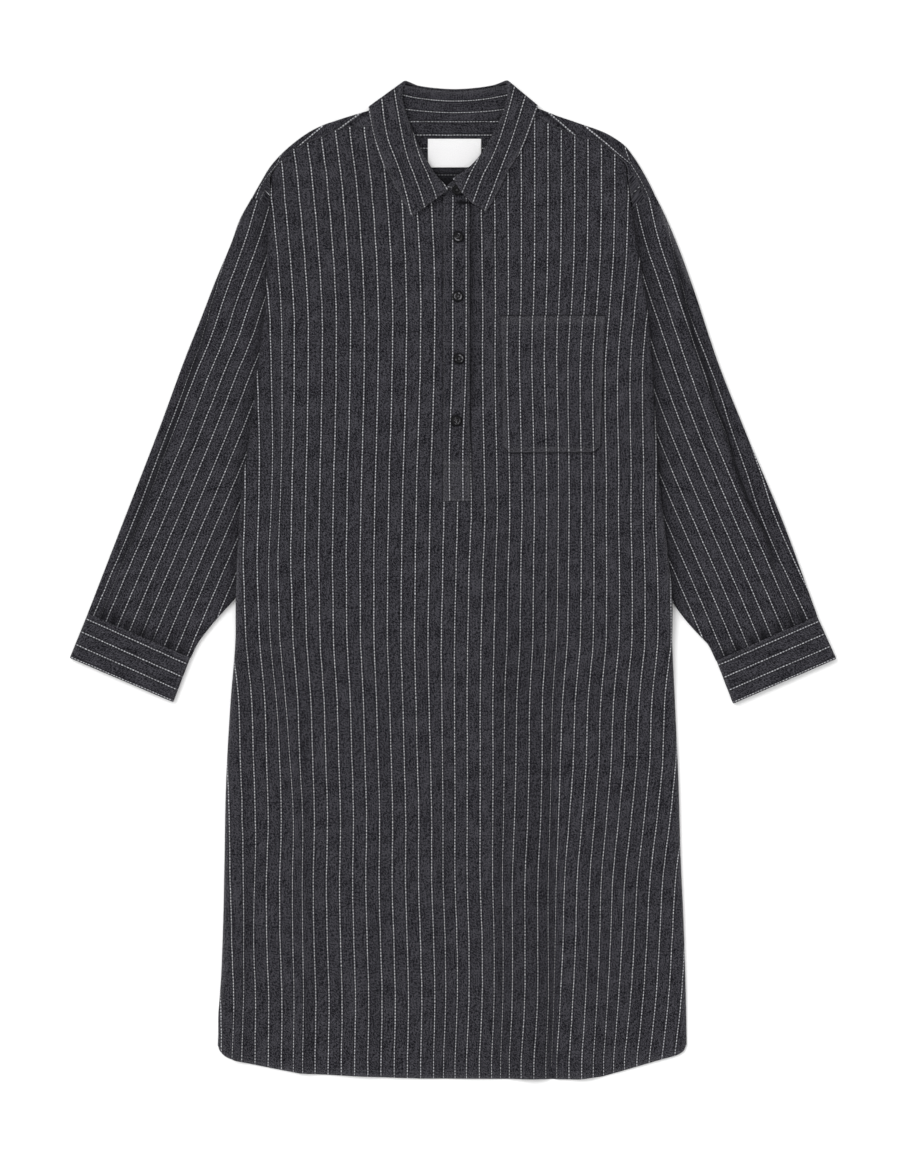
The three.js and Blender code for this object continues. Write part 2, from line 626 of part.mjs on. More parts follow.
const LEAF_ROLL_CELLS = 4;
const LEAF_FLAT_CELLS = 5;
const STAND_CELLS = 2;

function collarLeaf() {
  const count = COLLAR.length - 1;
  const roll = stationCurve(COLLAR, 'roll');
  const edge = stationCurve(COLLAR, 'edge');
  return wall({
    rows: count + 1,
    columns: LEAF_ROLL_CELLS + LEAF_FLAT_CELLS + 1,
    at: (i, j) => {
      const t = i / count;
      const start = roll.getPoint(t);
      const end = edge.getPoint(t);
      end.z = Math.max(end.z, LOW);
      const turn = degToRad(COLLAR[i].turn);
      const radius = lerp(ROLL_BELOW, ROLL_ABOVE, (Math.cos(turn) + 1) / 2);
      const fall = new THREE.Vector3(end.x - start.x, end.y - start.y, 0).normalize();
      const outward = new THREE.Vector3(fall.y, -fall.x, 0).multiplyScalar(fall.x < 0 ? -1 : 1);
      if (outward.y < 0) outward.negate();
      const lay = new THREE.Vector3(0, 0, Math.cos(turn)).addScaledVector(outward, Math.sin(turn));
      if (j <= LEAF_ROLL_CELLS) {
        const angle = degToRad(-90 + (180 * j) / LEAF_ROLL_CELLS);
        return start.clone()
          .addScaledVector(lay, radius + radius * Math.sin(angle))
          .addScaledVector(fall, -radius * Math.cos(angle));
      }
      const share = (j - LEAF_ROLL_CELLS) / LEAF_FLAT_CELLS;
      const crest = start.clone().addScaledVector(lay, 2 * radius);
      return crest.lerp(end, share);
    },
  });
}

function collarStand() {
  const stations = [...STAND_TOP_END, ...COLLAR, ...STAND_UNDER_END];
  const count = stations.length - 1;
  const neck = stationCurve(stations, 'neck');
  const roll = stationCurve(stations, 'roll');
  return wall({
    rows: count + 1,
    columns: STAND_CELLS + 1,
    at: (i, j) => {
      const start = neck.getPoint(i / count);
      const end = roll.getPoint(i / count);
      const turn = degToRad(stations[i].turn ?? 0);
      const short = 1 - (SEAM + 0.5 + STAND_TURN_GAP * Math.sin(turn)) / start.distanceTo(end);
      return start.lerp(end, (short * j) / STAND_CELLS);
    },
  });
}

// Pieces that lie on the front: its own points, moved out by the layers between
function onFront({ x, y, layers = 1 }) {
  return new THREE.Vector3(x, y, frontLevel(x, y) + layers * (CLOTH + SEAM));
}

function placketTop() {
  const along = steps(SLIT_FOOT, NECK_END, 20);
  const across = steps(PLACKET.left, PLACKET.right, 4);
  return wall({
    rows: along.length,
    columns: across.length,
    at: (i, j) => onFront({ x: across[j], y: along[i] }),
  });
}

function placketUnder() {
  const along = steps(UNDER_PLACKET.foot, NECK_END - 0.4, 16);
  const across = steps(UNDER_PLACKET.left, UNDER_PLACKET.right, 2);
  return wall({
    rows: along.length,
    columns: across.length,
    at: (i, j) => onFront({ x: across[j], y: along[i], layers: 0 }),
  });
}

function pocket() {
  const hem = 1 - POCKET.hem / (POCKET.top - POCKET.foot);
  const along = [0, 0.03, ...steps(0.06, hem, 6), 1];
  const across = [0, 0.04, ...steps(0.08, 0.92, 6), 0.96, 1];
  return wall({
    rows: along.length,
    columns: across.length,
    at: (i, j) => {
      const fromEdge = Math.min(across[j], 1 - across[j]) * (POCKET.topRight - POCKET.topLeft);
      const cut = Math.max(0, 1 - fromEdge / POCKET.corner) * POCKET.corner * 0.8;
      const y = lerp(POCKET.foot + cut, POCKET.top, along[i]);
      const height = (y - POCKET.foot) / (POCKET.top - POCKET.foot);
      const left = lerp(POCKET.footLeft, POCKET.topLeft, height);
      const right = lerp(POCKET.footRight, POCKET.topRight, height);
      return onFront({ x: lerp(left, right, across[j]), y });
    },
  });
}

function label() {
  const level = CLOTH + SEAM + LABEL.thickness / 2;
  return wall({
    rows: 2,
    columns: 5,
    thickness: LABEL.thickness,
    at: (i, j) => new THREE.Vector3(lerp(LABEL.left, LABEL.right, j / 4), i ? LABEL.top : LABEL.foot, level),
  });
}

function button() {
  const { radius, thickness, rim, dish } = BUTTON;
  const profile = [
    new THREE.Vector2(0, 0),
    new THREE.Vector2(radius - 0.8, 0),
    new THREE.Vector2(radius, thickness * 0.45),
    new THREE.Vector2(radius - 0.4, thickness),
    new THREE.Vector2(radius - rim, thickness),
    new THREE.Vector2(radius - rim - 0.8, thickness - dish),
    new THREE.Vector2(0, thickness - dish),
  ];
  return new THREE.LatheGeometry(profile, 18).rotateX(Math.PI / 2);
}

// Materials and the assembled garment
const CHARCOAL = new THREE.MeshStandardMaterial({ color: 0x3a3c40, roughness: 0.9, metalness: 0 });
const WHITE_LABEL = new THREE.MeshStandardMaterial({ color: 0xf2f2ef, roughness: 0.7, metalness: 0 });
const DARK_BUTTON = new THREE.MeshStandardMaterial({ color: 0x17181a, roughness: 0.35, metalness: 0 });

function piece(name, geometry, material = CHARCOAL) {
  const mesh = new THREE.Mesh(geometry, material.clone());
  mesh.name = name;
  return mesh;
}

const dress = new THREE.Group();
dress.add(
  piece('back', back()),
  piece('front', front()),
  piece('yoke', yoke()),
  piece('sleeve_right', sleeve(LEFT)),
  piece('sleeve_left', sleeve(RIGHT)),
  piece('cuff_right', cuff(LEFT)),
  piece('cuff_left', cuff(RIGHT)),
  piece('collar_stand', collarStand()),
  piece('collar_leaf', collarLeaf()),
  piece('placket_under', placketUnder()),
  piece('placket_top', placketTop()),
  piece('pocket', pocket()),
  piece('label', label(), WHITE_LABEL),
);
for (const { name, x, y } of BUTTON_PLACES) {
  const mesh = piece(name, button(), DARK_BUTTON);
  mesh.position.set(x, y, frontLevel(x, y) + CLOTH + SEAM + CLOTH / 2 + SEAM);
  dress.add(mesh);
}
const collarButton = piece('button_1', button(), DARK_BUTTON);
collarButton.position.set(COLLAR_BUTTON.x, COLLAR_BUTTON.y, COLLAR_BUTTON.z);
dress.add(collarButton);

// The origin is at the bottom centre of the whole garment's box
dress.updateMatrixWorld(true);
const box = new THREE.Box3().setFromObject(dress, true);
const centre = box.getCenter(new THREE.Vector3());
dress.position.set(-centre.x, -centre.y, -box.min.z);

export default dress;
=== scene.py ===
import math

import bmesh
import bpy
import numpy as np
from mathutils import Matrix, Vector


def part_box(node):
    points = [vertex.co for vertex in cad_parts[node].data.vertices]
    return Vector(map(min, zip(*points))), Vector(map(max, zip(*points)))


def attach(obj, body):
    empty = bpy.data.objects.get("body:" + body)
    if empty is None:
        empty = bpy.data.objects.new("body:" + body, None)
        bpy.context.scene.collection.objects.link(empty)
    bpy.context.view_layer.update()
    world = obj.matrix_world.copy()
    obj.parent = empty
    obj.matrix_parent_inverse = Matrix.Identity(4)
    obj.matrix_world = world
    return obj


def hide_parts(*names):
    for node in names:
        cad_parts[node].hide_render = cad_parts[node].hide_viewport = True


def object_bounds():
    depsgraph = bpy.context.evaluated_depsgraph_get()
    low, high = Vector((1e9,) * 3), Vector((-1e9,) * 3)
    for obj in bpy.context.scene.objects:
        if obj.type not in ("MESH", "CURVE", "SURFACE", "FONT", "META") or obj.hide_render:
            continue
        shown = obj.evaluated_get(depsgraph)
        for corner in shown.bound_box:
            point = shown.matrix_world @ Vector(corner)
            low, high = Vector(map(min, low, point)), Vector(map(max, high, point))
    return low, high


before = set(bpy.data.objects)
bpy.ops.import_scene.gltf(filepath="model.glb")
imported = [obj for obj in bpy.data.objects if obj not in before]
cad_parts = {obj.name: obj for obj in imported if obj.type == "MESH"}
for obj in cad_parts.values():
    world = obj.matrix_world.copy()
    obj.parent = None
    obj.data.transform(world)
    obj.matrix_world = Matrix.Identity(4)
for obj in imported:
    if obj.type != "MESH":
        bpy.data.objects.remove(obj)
CAD_LOW, CAD_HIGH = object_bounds()

# Cloth, seams and the heights of the lying layers
CLOTH = 1.2
CUFF_CLOTH = 1.8
SEAM = 0.3
LOW = CLOTH / 2
ROUND = 2.45
HIGH = LOW + 2 * ROUND
SLEEVE_TOP = HIGH + CLOTH / 2
HEM_LEVEL = 2.3
HEM_RUN = 70
BACK_LIFT = SLEEVE_TOP + SEAM
FRONT_LIFT_AT_ARMHOLE = 3.1
FRONT_LIFT_AT_SIDE = 5.4
TUCK_MARGIN = 14
BACK_TUCK_RUN = 34
FRONT_TUCK_RUN = 95

# Landmarks along the length
YOKE_SEAM_BACK = 1000
UNDERARM = 740.6
SIDE_SEAM_TOP = 695
SLIT_FOOT = 665.8
NECK_END = 1017.2

# Front slit, placket, pocket, label and buttons
SLIT_LEFT = -12.9
SLIT_RIGHT = 16.4
PLACKET = {"left": -13.8, "right": 17.4, "box": 706}
UNDER_PLACKET = {"left": -9, "right": 16, "foot": 668}
POCKET = {"top_left": 52.4, "top_right": 172.2, "foot_left": 55, "foot_right": 167,
          "top": 879.5, "foot": 721, "corner": 9, "hem": 19}
LABEL = {"left": -31, "right": 30, "foot": 1050, "top": 1082.5, "thickness": 1, "wide": 61,
         "high": 33}
BUTTON = {"radius": 5.75, "thickness": 2.6, "rim": 1.1, "dish": 0.7, "hole": 0.85, "hole_out": 1.35}
BUTTON_PLACES = [
    {"name": "button_2", "x": 3.7, "y": 969.4},
    {"name": "button_3", "x": 3.2, "y": 901},
    {"name": "button_4", "x": 4.8, "y": 829.6},
    {"name": "button_5", "x": 1.5, "y": 758.1},
]
COLLAR_BUTTON = {"x": 2.3, "y": 1023.2, "z": 8.6}

# The stripe repeat, and the width of one stripe
PITCH = 15.3
STRIPE_HALF = 0.45


def table(names, *rows):
    """Rows of numbers under named columns."""
    keys = names.split()
    return [dict(zip(keys, row)) for row in rows]


# Outline of the body, seen from above
BODY_SIDES = table(
    "y left right",
    (36, -273.4, 266.8), (80, -271, 266), (179, -266.9, 263.1), (254, -265.3, 259.7),
    (337, -263.7, 257.4), (437, -258.2, 253), (506, -252.8, 250.1), (555, -252, 249.8),
    (613, -250, 244), (681, -245, 236), (731, -238, 232.5), (782, -231.4, 229.5),
    (840, -224.6, 226), (900, -217.8, 220), (951, -216.2, 211.6), (1002, -212.8, 203.2),
    (1040, -211.6, 198), (1051, -211.6, 196.7),
)
HEM = table(
    "x y",
    (-273.4, 40), (-270.5, 33), (-264, 26.5), (-253, 22), (-213, 14), (-179, 7.5), (-110, 4),
    (-40, 1.5), (97, 1), (143, 0.5), (170, 4), (194, 10.8), (232, 22), (256, 28.5),
    (263.5, 33.5), (266.8, 41),
)
FRONT_TOP_LEFT = table(
    "x y",
    (-211.6, 1040), (-203, 1051.6), (-190, 1067.4), (-169, 1077.7), (-153, 1084.1),
    (-136.3, 1092.1), (-119.6, 1095.8), (-102.4, 1096.1), (-82, 1097.6), (-75.6, 1089),
    (-67.2, 1066.3), (-53.6, 1042.9), (-38.4, 1027.9), (-27.2, 1020.9), (SLIT_LEFT, NECK_END),
)
FRONT_TOP_RIGHT = table(
    "x y",
    (SLIT_RIGHT, NECK_END), (26.4, 1020.2), (36.6, 1027.2), (51.6, 1042.2), (65.2, 1066.4),
    (73.9, 1090.4), (80.5, 1109), (93.7, 1108.4), (111, 1097.6), (127.2, 1090.5),
    (143.4, 1084.3), (158.7, 1080.4), (173.3, 1073.7), (187, 1061.4), (196.7, 1051),
)

# Yoke: where it folds over the shoulder, and where its front and back edges are sewn
YOKE_NAMES = "fold_x fold_y front_x front_y back_x back_y"
YOKE_LEFT = table(
    YOKE_NAMES,
    (-233.4, 1015.2, -213.2, 1005.4, -212.4, 1005.4), (-222.6, 1034.2, -213, 1022, -204, 1000.4),
    (-214.5, 1047.6, -212.2, 1040.6, -194, 1000.4), (-206.5, 1058, -203.4, 1052.2, -184, 1000.4),
    (-190.9, 1073.3, -190.3, 1068, -172, 1000.4), (-169.7, 1089.2, -169.2, 1078.3, -157, 1000.4),
    (-152.1, 1098.3, -153.1, 1084.6, -141, 1000.4), (-138, 1103.2, -136.4, 1092.6, -126, 1000.4),
    (-124.2, 1107.7, -119.6, 1096.3, -112, 1000.4), (-105, 1113.4, -102.4, 1096.6, -97, 1000.4),
    (-83.5, 1119.6, -82, 1098.2, -80, 1000.4),
)
YOKE_NECK = table(
    "x y",
    (-78, 1118.7), (-66, 1111.7), (-52, 1106.3), (-37, 1101.8), (-18, 1099.8), (0, 1098.8),
    (18, 1099.8), (37, 1101.8), (52, 1106.5), (65, 1112.2), (76, 1119),
)
YOKE_RIGHT = table(
    YOKE_NAMES,
    (81.5, 1121.4, 80.5, 1109.6, 78, 1000.4), (96, 1117.4, 93.8, 1109, 94, 1000.4),
    (116.6, 1109.4, 111.3, 1098.1, 109, 1000.4), (134, 1103.5, 127.4, 1091, 124, 1000.4),
    (150.1, 1097.9, 143.5, 1084.8, 138, 1000.4), (163, 1093.5, 158.9, 1080.9, 150, 1000.4),
    (176.5, 1087.6, 173.6, 1074.2, 161, 1000.4), (194.1, 1075.9, 187.4, 1061.8, 172, 1000.4),
    (203.5, 1064.5, 197.4, 1051.4, 182, 1000.4), (212.5, 1051, 199.2, 1036, 191, 1000.4),
    (222.3, 1033.5, 201.6, 1020, 199, 1000.4), (230.4, 1017, 204.2, 1004.4, 203.2, 1004.4),
)
YOKE_RISE = {"from": 1082, "to": 1090, "lift": 1.5}

# Sleeves: outer fold, armhole seam and underarm fold in plan, then the corners of the cuff.
# base is the second stripe in from the outer edge, crease the long lapped fold with its take-up.
# The dark weights are painted shade in the crease and beside the body; the rim weight lightens the outer
# fold, as wear and a painted highlight.
SLEEVE_RIGHT = {
    "side": -1,
    "outer": table("x y", (-233.9, 1014.5), (-247.3, 990.6), (-257.5, 962.6), (-275.2, 920.3),
                   (-292.1, 876.5), (-312.2, 825.9), (-339.3, 752.1), (-381.8, 642),
                   (-424.4, 531.8)),
    "armhole": table("x y", (-233.9, 1014.5), (-213.6, 1005), (-205.8, 971.7), (-189.7, 908.5),
                     (-175.9, 839.5), (-164.4, 782), (-157.5, 740.6)),
    "inner": table("x y", (-157.5, 740.6), (-171.3, 707.2), (-192, 661.2), (-221.9, 602.6),
                   (-251.8, 555.4), (-269.1, 535.9), (-281.8, 521), (-295.6, 502.6),
                   (-306.5, 480.7)),
    "cuff": {"outer_x": -443.1, "outer_y": 485.8, "inner_x": -324, "inner_y": 434.9},
    "base": table("y x", (1040, -207), (1014, -211), (999, -215.5), (975, -222.5), (938.5, -235.4),
                  (896, -251), (859.5, -262.9), (805, -285.2), (784, -293.2), (530, -400.2),
                  (430, -442.3)),
    "crease": table("y x take_up", (1013, -234, 7), (960, -259, 7), (896.2, -278.5, 8.9),
                    (843, -292.3, 8.9), (805, -304.8, 8.9), (742.9, -326.6, 9), (644, -362, 13),
                    (552, -399, 14), (430, -450, 14)),
    "crease_width": 2.6,
    "crease_depth": 1.5,
    "crease_dark": 0.3,
    "cuff_tilt": 1.8,
    "lip": 0.7,
    "rim_wear_and_highlight": 0.15,
    "body_dark": 0.42,
    "pitch": 15.75,
}
SLEEVE_LEFT = {
    "side": 1,
    "outer": table("x y", (230.8, 1016.2), (241.5, 994.9), (257, 958), (275.4, 907.4),
                   (302.5, 825.7), (335.8, 741.8), (376.6, 644), (418.6, 529)),
    "armhole": table("x y", (230.8, 1016.2), (204.6, 1003.6), (199, 966), (186.3, 906.2),
                     (173.6, 839.5), (162.1, 782), (157.5, 740.6)),
    "inner": table("x y", (157.5, 740.6), (171.3, 704.9), (190.9, 657.8), (219.6, 598),
                   (250.1, 549.7), (265.3, 529), (281.8, 510.6), (291, 500.8), (302.7, 477.3)),
    "cuff": {"outer_x": 438.6, "outer_y": 484.8, "inner_x": 319.7, "inner_y": 433.1},
    "base": table("y x", (1040, 201), (1010, 208), (974, 216.2), (951, 223.1), (925.8, 232),
                  (897, 241.5), (866.3, 251.9), (826.9, 265.4), (784.3, 280.6), (523.3, 390.5),
                  (430, 429.8)),
    "crease": table("y x take_up", (984.4, 245, 7), (954.5, 250.7, 9), (906.5, 260.7, 10),
                    (868.3, 270.3, 9), (836, 279.5, 7), (805, 290.9, 6), (785.8, 295.2, 6),
                    (753.3, 308, 8), (695.8, 324.9, 11), (656.7, 340.4, 15), (621, 358.8, 16),
                    (600.3, 363, 16), (540, 392, 14), (430, 440, 14)),
    "crease_width": 2.2,
    "crease_depth": 0.8,
    "crease_dark": 0.7,
    "cuff_tilt": -0.9,
    "lip": 3.2,
    "rim_wear_and_highlight": 1.5,
    "body_dark": 0.5,
    "pitch": 16,
}

# Collar stations from the wearer's right front end round the back to the left front end
COLLAR = table(
    "neck_x neck_y neck_z roll_x roll_y roll_z edge_x edge_y edge_z turn",
    (-12, 1017.8, 7, -8.5, 1023, 8.2, -49.1, 993.1, 7.4, 0),
    (-27, 1021.5, 5.8, -19, 1034, 7.5, -59.1, 1009.7, 7.4, 0),
    (-38, 1028.5, 5.5, -24.6, 1040.5, 7, -67, 1023, 7.3, 0),
    (-53, 1043.5, 5.5, -33.7, 1055.6, 7, -76, 1041, 7.3, 0),
    (-66.5, 1067, 5.5, -45.9, 1078.4, 7, -85.8, 1061, 7.3, 0),
    (-74.8, 1092.5, 5.5, -56.6, 1106.4, 7, -93.3, 1087.5, 7.3, 0),
    (-78.2, 1108, 5.4, -62, 1126.2, 6.9, -97.4, 1107.6, 7.3, 0),
    (-80, 1116.5, 4.9, -61.5, 1137, 6.4, -98.9, 1116, 6.9, 45),
    (-79.8, 1119.6, 3.8, -57, 1145.5, 5.2, -98.9, 1119.4, 4, 90),
    (-78, 1119.3, 2.7, -52, 1145, 4.2, -97.3, 1117.4, 0.8, 135),
    (-66, 1112.3, 2.1, -44, 1142.6, 3.5, -90, 1109, 0.6, 180),
    (-37, 1102.4, 2.1, -27, 1139.8, 3.5, -58, 1099, 0.6, 180),
    (0, 1099.4, 2.1, 0, 1137.9, 3.5, 0, 1094.8, 0.6, 180),
    (37, 1102.4, 2.1, 28, 1140, 3.5, 58, 1099, 0.6, 180),
    (65, 1112.8, 2.1, 46, 1143.2, 3.5, 87, 1109, 0.6, 180),
    (76, 1119.7, 2.7, 54, 1145.2, 4.2, 93, 1119.4, 0.8, 135),
    (78, 1120.2, 3.8, 59.5, 1146, 5.2, 94.6, 1121, 4, 90),
    (78, 1117, 4.9, 61.5, 1137, 6.4, 94.6, 1117.2, 6.9, 45),
    (76.5, 1108, 5.4, 61.4, 1126.2, 6.9, 92.5, 1110, 7.3, 0),
    (73, 1091, 5.5, 55.4, 1107.7, 7, 86.7, 1094, 7.3, 0),
    (64.5, 1067, 5.5, 44.7, 1085.7, 7, 75.5, 1068, 7.3, 0),
    (51, 1043, 5.5, 32, 1064, 7, 62, 1047, 7.3, 0),
    (36, 1028, 5.5, 19.8, 1050, 6.9, 51.5, 1026, 7.3, 0),
    (26, 1021, 5.5, 9.9, 1042, 6.7, 45.5, 1014.3, 7.4, 0),
    (12, 1017.8, 5.5, -1.2, 1035, 6.6, 36.3, 999, 7.6, 0),
)
STAND_NAMES = "neck_x neck_y neck_z roll_x roll_y roll_z"
STAND_TOP_END = table(STAND_NAMES, (8, 1018.4, 7, 9, 1026, 7.9), (-2, 1017.6, 7, 0, 1029, 8.1))
STAND_UNDER_END = table(STAND_NAMES, (2, 1017.5, 5.5, -6, 1032, 6.5),
                        (-9, 1018, 5.5, -11, 1027, 6.3))
ROLL_ABOVE = 1.8
ROLL_BELOW = 1.45
STAND_TURN_GAP = 1.8

# The largest soft folds of the front: a ridge along a line, so wide and so high
FRONT_FOLDS = table(
    "x0 y0 x1 y1 width height",
    (80, 470, 88, 2, 15, 5), (141, 330, 150, 2, 13, 2.6), (-176, 330, -174, 8, 12, 2.4),
    (-240, 280, -249, 26, 8, 2.2), (-96, 420, -104, 4, 20, 1.8), (-140, 760, -60, 520, 22, 1.6),
    (140, 700, 70, 540, 20, 1.6),
)
# Smaller creases: troughs where height is negative
FRONT_CREASES = table(
    "x0 y0 x1 y1 width height",
    (109, 560, 111, 2, 4.5, -2.2), (121, 330, 112, 2, 4, -1.3), (52, 420, 57, 2, 7, -1.1),
    (-12, 400, -12, 2, 8, -0.9), (-205, 640, -182, 2, 6, -1), (-222, 250, -255, 30, 5, -1.2),
    (168, 300, 173, 2, 9, -0.9), (-60, 330, -66, 2, 9, 0.7), (-140, 260, -146, 4, 10, -0.7),
    (205, 640, 214, 60, 9, -0.8), (-40, 650, -70, 560, 8, -0.5), (30, 660, 60, 560, 9, -0.5),
    (-198, 1010, -176, 800, 7, -0.7), (182, 1000, 168, 800, 7, -0.7), (-86, 980, -52, 900, 14, 0.5),
)

# Broad soft shading of the lower front
FRONT_SHADES = table(
    "x0 y0 x1 y1 width height",
    (-176, 560, -168, 20, 9, 0.10), (-236, 640, -245, 40, 8, 0.09), (109, 700, 111, 2, 5, 0.22),
    (-16, 440, -14, 2, 9, 0.07), (-72, 660, -92, 20, 10, 0.06), (200, 560, 214, 40, 9, 0.08),
    (40, 760, 58, 430, 12, 0.07), (-120, 560, -122, 20, 7, 0.05), (160, 600, 170, 10, 9, 0.06),
    (-30, 640, -44, 300, 9, -0.06), (125, 640, 132, 40, 8, -0.07), (-150, 500, -150, 60, 9, -0.06),
)

# Where the cloth's stripes run on the front: one stripe right of the placket, and the spacing
# on both sides of it, at some heights
GRAIN = table(
    "y stripe left right",
    (1012, 30, 16.8, 15.35), (943, 31, 16.5, 15.05), (885, 31.8, 16.2, 14.55),
    (828, 31.5, 16.1, 14.3), (770, 32.2, 16, 14.3), (713, 33.4, 15.9, 14.3),
    (644, 34.3, 15.9, 14.2), (598, 32.2, 15.9, 14.5), (552, 31, 15.7, 14.7),
    (506, 29.9, 15.5, 14.85), (437, 28.8, 15.1, 14.7), (368, 28.8, 15.05, 14.9),
    (299, 28.7, 15, 14.85), (230, 28.7, 15.15, 14.6), (161, 31, 15.3, 14.45),
    (92, 31, 15.25, 14.55), (23, 27.8, 15.2, 14.4),
)
# The wearer's right half lies a little across, which shifts its stripes sideways
RIGHT_HALF_SLIDE = table(
    "y slide",
    (1092.5, 0), (1069.5, 2.8), (1046.5, 6.2), (1023.5, 8.5), (1000.5, 10), (943, 10.8),
    (885.5, 9.6), (850, 9.3), (828, 8.9), (805, 8.1), (782, 6.9), (759, 5.6), (736, 4.1),
    (713, 2.5), (690, 1.3), (667, 0.4), (644, 0.1), (621, 0.8), (598, 1.5), (575, 1.5), (540, 1),
    (500, 0.5),
)
# Folds that take up cloth, so that stripes crowd there
TAKE_UPS = [
    {"width": 9, "line": table("y x take_up", (885, 127, 0), (770, 125, 3), (640, 121, 3),
                               (552, 119, 4), (506, 117, 5), (437, 113, 6.5), (360, 111, 9),
                               (230, 109, 8), (23, 108, 4))},
    {"width": 6, "line": table("y x take_up", (360, 127, 0), (250, 122, 5), (160, 117, 8),
                               (90, 114, 13), (23, 112, 14))},
    {"width": 14, "line": table("y x take_up", (500, 54, 0), (437, 54, 2), (299, 54, 5),
                                (161, 54, 9), (23, 53, 10))},
    {"width": 26, "line": table("y x take_up", (437, 172, 0), (299, 172, 3), (161, 173, 5),
                                (23, 174, 9))},
    {"width": 12, "line": table("y x take_up", (1000, -204, 2), (805, -201, 6), (713, -202, 9),
                                (530, -212, 8), (299, -180, 7), (23, -181, 7))},
    {"width": 10, "line": table("y x take_up", (299, -220, 0), (200, -236, 5), (90, -247, 6),
                                (23, -256, 7))},
    {"width": 15, "line": table("y x take_up", (520, -13, 0), (437, -13, 1), (299, -15, 4),
                                (161, -11, 5), (23, -13, 8))},
]


# Curves and outlines

def column(rows, name):
    return np.array([row[name] for row in rows], float)


def rising(rows, key, value):
    """Two columns, turned round where the first one falls."""
    keys, values = column(rows, key), column(rows, value)
    return (keys[::-1], values[::-1]) if keys[0] > keys[-1] else (keys, values)


def along(rows, key, value, at):
    return np.interp(at, *rising(rows, key, value))


def smooth_along(rows, key, value, at):
    """Like along, with a soft change of slope at each row."""
    keys, values = rising(rows, key, value)
    slopes = np.gradient(values, keys)
    at = np.clip(at, keys[0], keys[-1])
    index = np.clip(np.searchsorted(keys, at) - 1, 0, len(keys) - 2)
    run = keys[index + 1] - keys[index]
    share = (at - keys[index]) / run
    return ((2 * share**3 - 3 * share**2 + 1) * values[index]
            + (share**3 - 2 * share**2 + share) * run * slopes[index]
            + (3 * share**2 - 2 * share**3) * values[index + 1]
            + (share**3 - share**2) * run * slopes[index + 1])


def smoothstep(value, low, high):
    share = np.clip((np.asarray(value, float) - low) / (high - low), 0, 1)
    return share * share * (3 - 2 * share)


def fading(value, low, high):
    return 1 - smoothstep(value, low, high)


def soft_line(distance, width):
    return np.exp(-((distance / width) ** 2))


def marks(rows, distance):
    """Soft lines side by side, each with its weight, place and width."""
    return sum(row["weight"] * soft_line(distance - row["at"], row["width"]) for row in rows)


def lerp(a, b, share):
    return a + (b - a) * share


def join(*parts):
    return np.stack(np.broadcast_arrays(*parts), axis=-1)


def unit(vector):
    return vector / np.linalg.norm(vector)


def lengths(points):
    """The way run at each point of a path."""
    return np.concatenate([[0], np.cumsum(np.linalg.norm(np.diff(points, axis=0), axis=1))])


def catmull(points, t):
    """Centripetal curve through the points; t from 0 to 1 counts points, not length."""
    points = np.asarray(points, float)
    ends = np.vstack([2 * points[0] - points[1], points, 2 * points[-1] - points[-2]])
    place = np.clip(np.asarray(t, float), 0, 1) * (len(points) - 1)
    index = np.minimum(np.floor(place).astype(int), len(points) - 2)
    share = (place - index)[:, None]
    p0, p1, p2, p3 = (ends[index + k] for k in range(4))
    gaps = [np.sqrt(np.maximum(np.linalg.norm(b - a, axis=1), 1e-9))[:, None]
            for a, b in ((p0, p1), (p1, p2), (p2, p3))]
    start = ((p1 - p0) / gaps[0] - (p2 - p0) / (gaps[0] + gaps[1]) + (p2 - p1) / gaps[1]) * gaps[1]
    end = ((p2 - p1) / gaps[1] - (p3 - p1) / (gaps[1] + gaps[2]) + (p3 - p2) / gaps[2]) * gaps[1]
    return (p1 + start * share + (-3 * p1 + 3 * p2 - 2 * start - end) * share**2
            + (2 * p1 - 2 * p2 + start + end) * share**3)


CURVE_POINTS = 1500
OUTLINE_POINTS = 800


def plan_curve(rows, count):
    return catmull([[row["x"], row["y"]] for row in rows], np.linspace(0, 1, count))


def by_length(rows, shares):
    """Points at shares of a plan curve's length."""
    dense = plan_curve(rows, CURVE_POINTS)
    run = lengths(dense)
    at = np.asarray(shares, float) * run[-1]
    return join(np.interp(at, run, dense[:, 0]), np.interp(at, run, dense[:, 1]))


def smooth_outline(rows):
    return table("x y", *plan_curve(rows, OUTLINE_POINTS))


def hem_at(x):
    return along(HEM, "x", "y", x)


def side_at(y, edge):
    return smooth_along(BODY_SIDES, "y", edge, y)


# A point past the cuffs that carries the sleeve's inner edge on, and the slant of that edge
PAST_CUFF = {"x": 420, "y": 380}
SLEEVE_SLANT = 0.8


def clear_of_sleeve(sleeve, x, y):
    past = {"x": sleeve["side"] * PAST_CUFF["x"], "y": PAST_CUFF["y"]}
    rows = sleeve["armhole"][1:] + sleeve["inner"][1:] + [past]
    return (along(rows, "y", "x", y) - x) * sleeve["side"] * SLEEVE_SLANT


def tuck(x, y, run):
    near = np.minimum(clear_of_sleeve(SLEEVE_RIGHT, x, y), clear_of_sleeve(SLEEVE_LEFT, x, y))
    return fading(near, TUCK_MARGIN, run)


# A fold rises over the first part of its length and dies out some widths past its end
RIDGE_RISE = 0.35
RIDGE_FADE = 4


def ridges(folds, x, y):
    """The sum of soft folds, each along its own line."""
    total = 0
    for fold in folds:
        run = np.array([fold["x1"] - fold["x0"], fold["y1"] - fold["y0"]], float)
        length = np.hypot(*run)
        far = ((x - fold["x0"]) * run[0] + (y - fold["y0"]) * run[1]) / length
        across = ((x - fold["x0"]) * run[1] - (y - fold["y0"]) * run[0]) / length
        ends = smoothstep(far, 0, length * RIDGE_RISE)
        ends = ends * fading(far, length, length + RIDGE_FADE * fold["width"])
        total = total + fold["height"] * ends * soft_line(across, fold["width"])
    return total


BACK_CLIMB = (UNDERARM + 6, UNDERARM + 60)


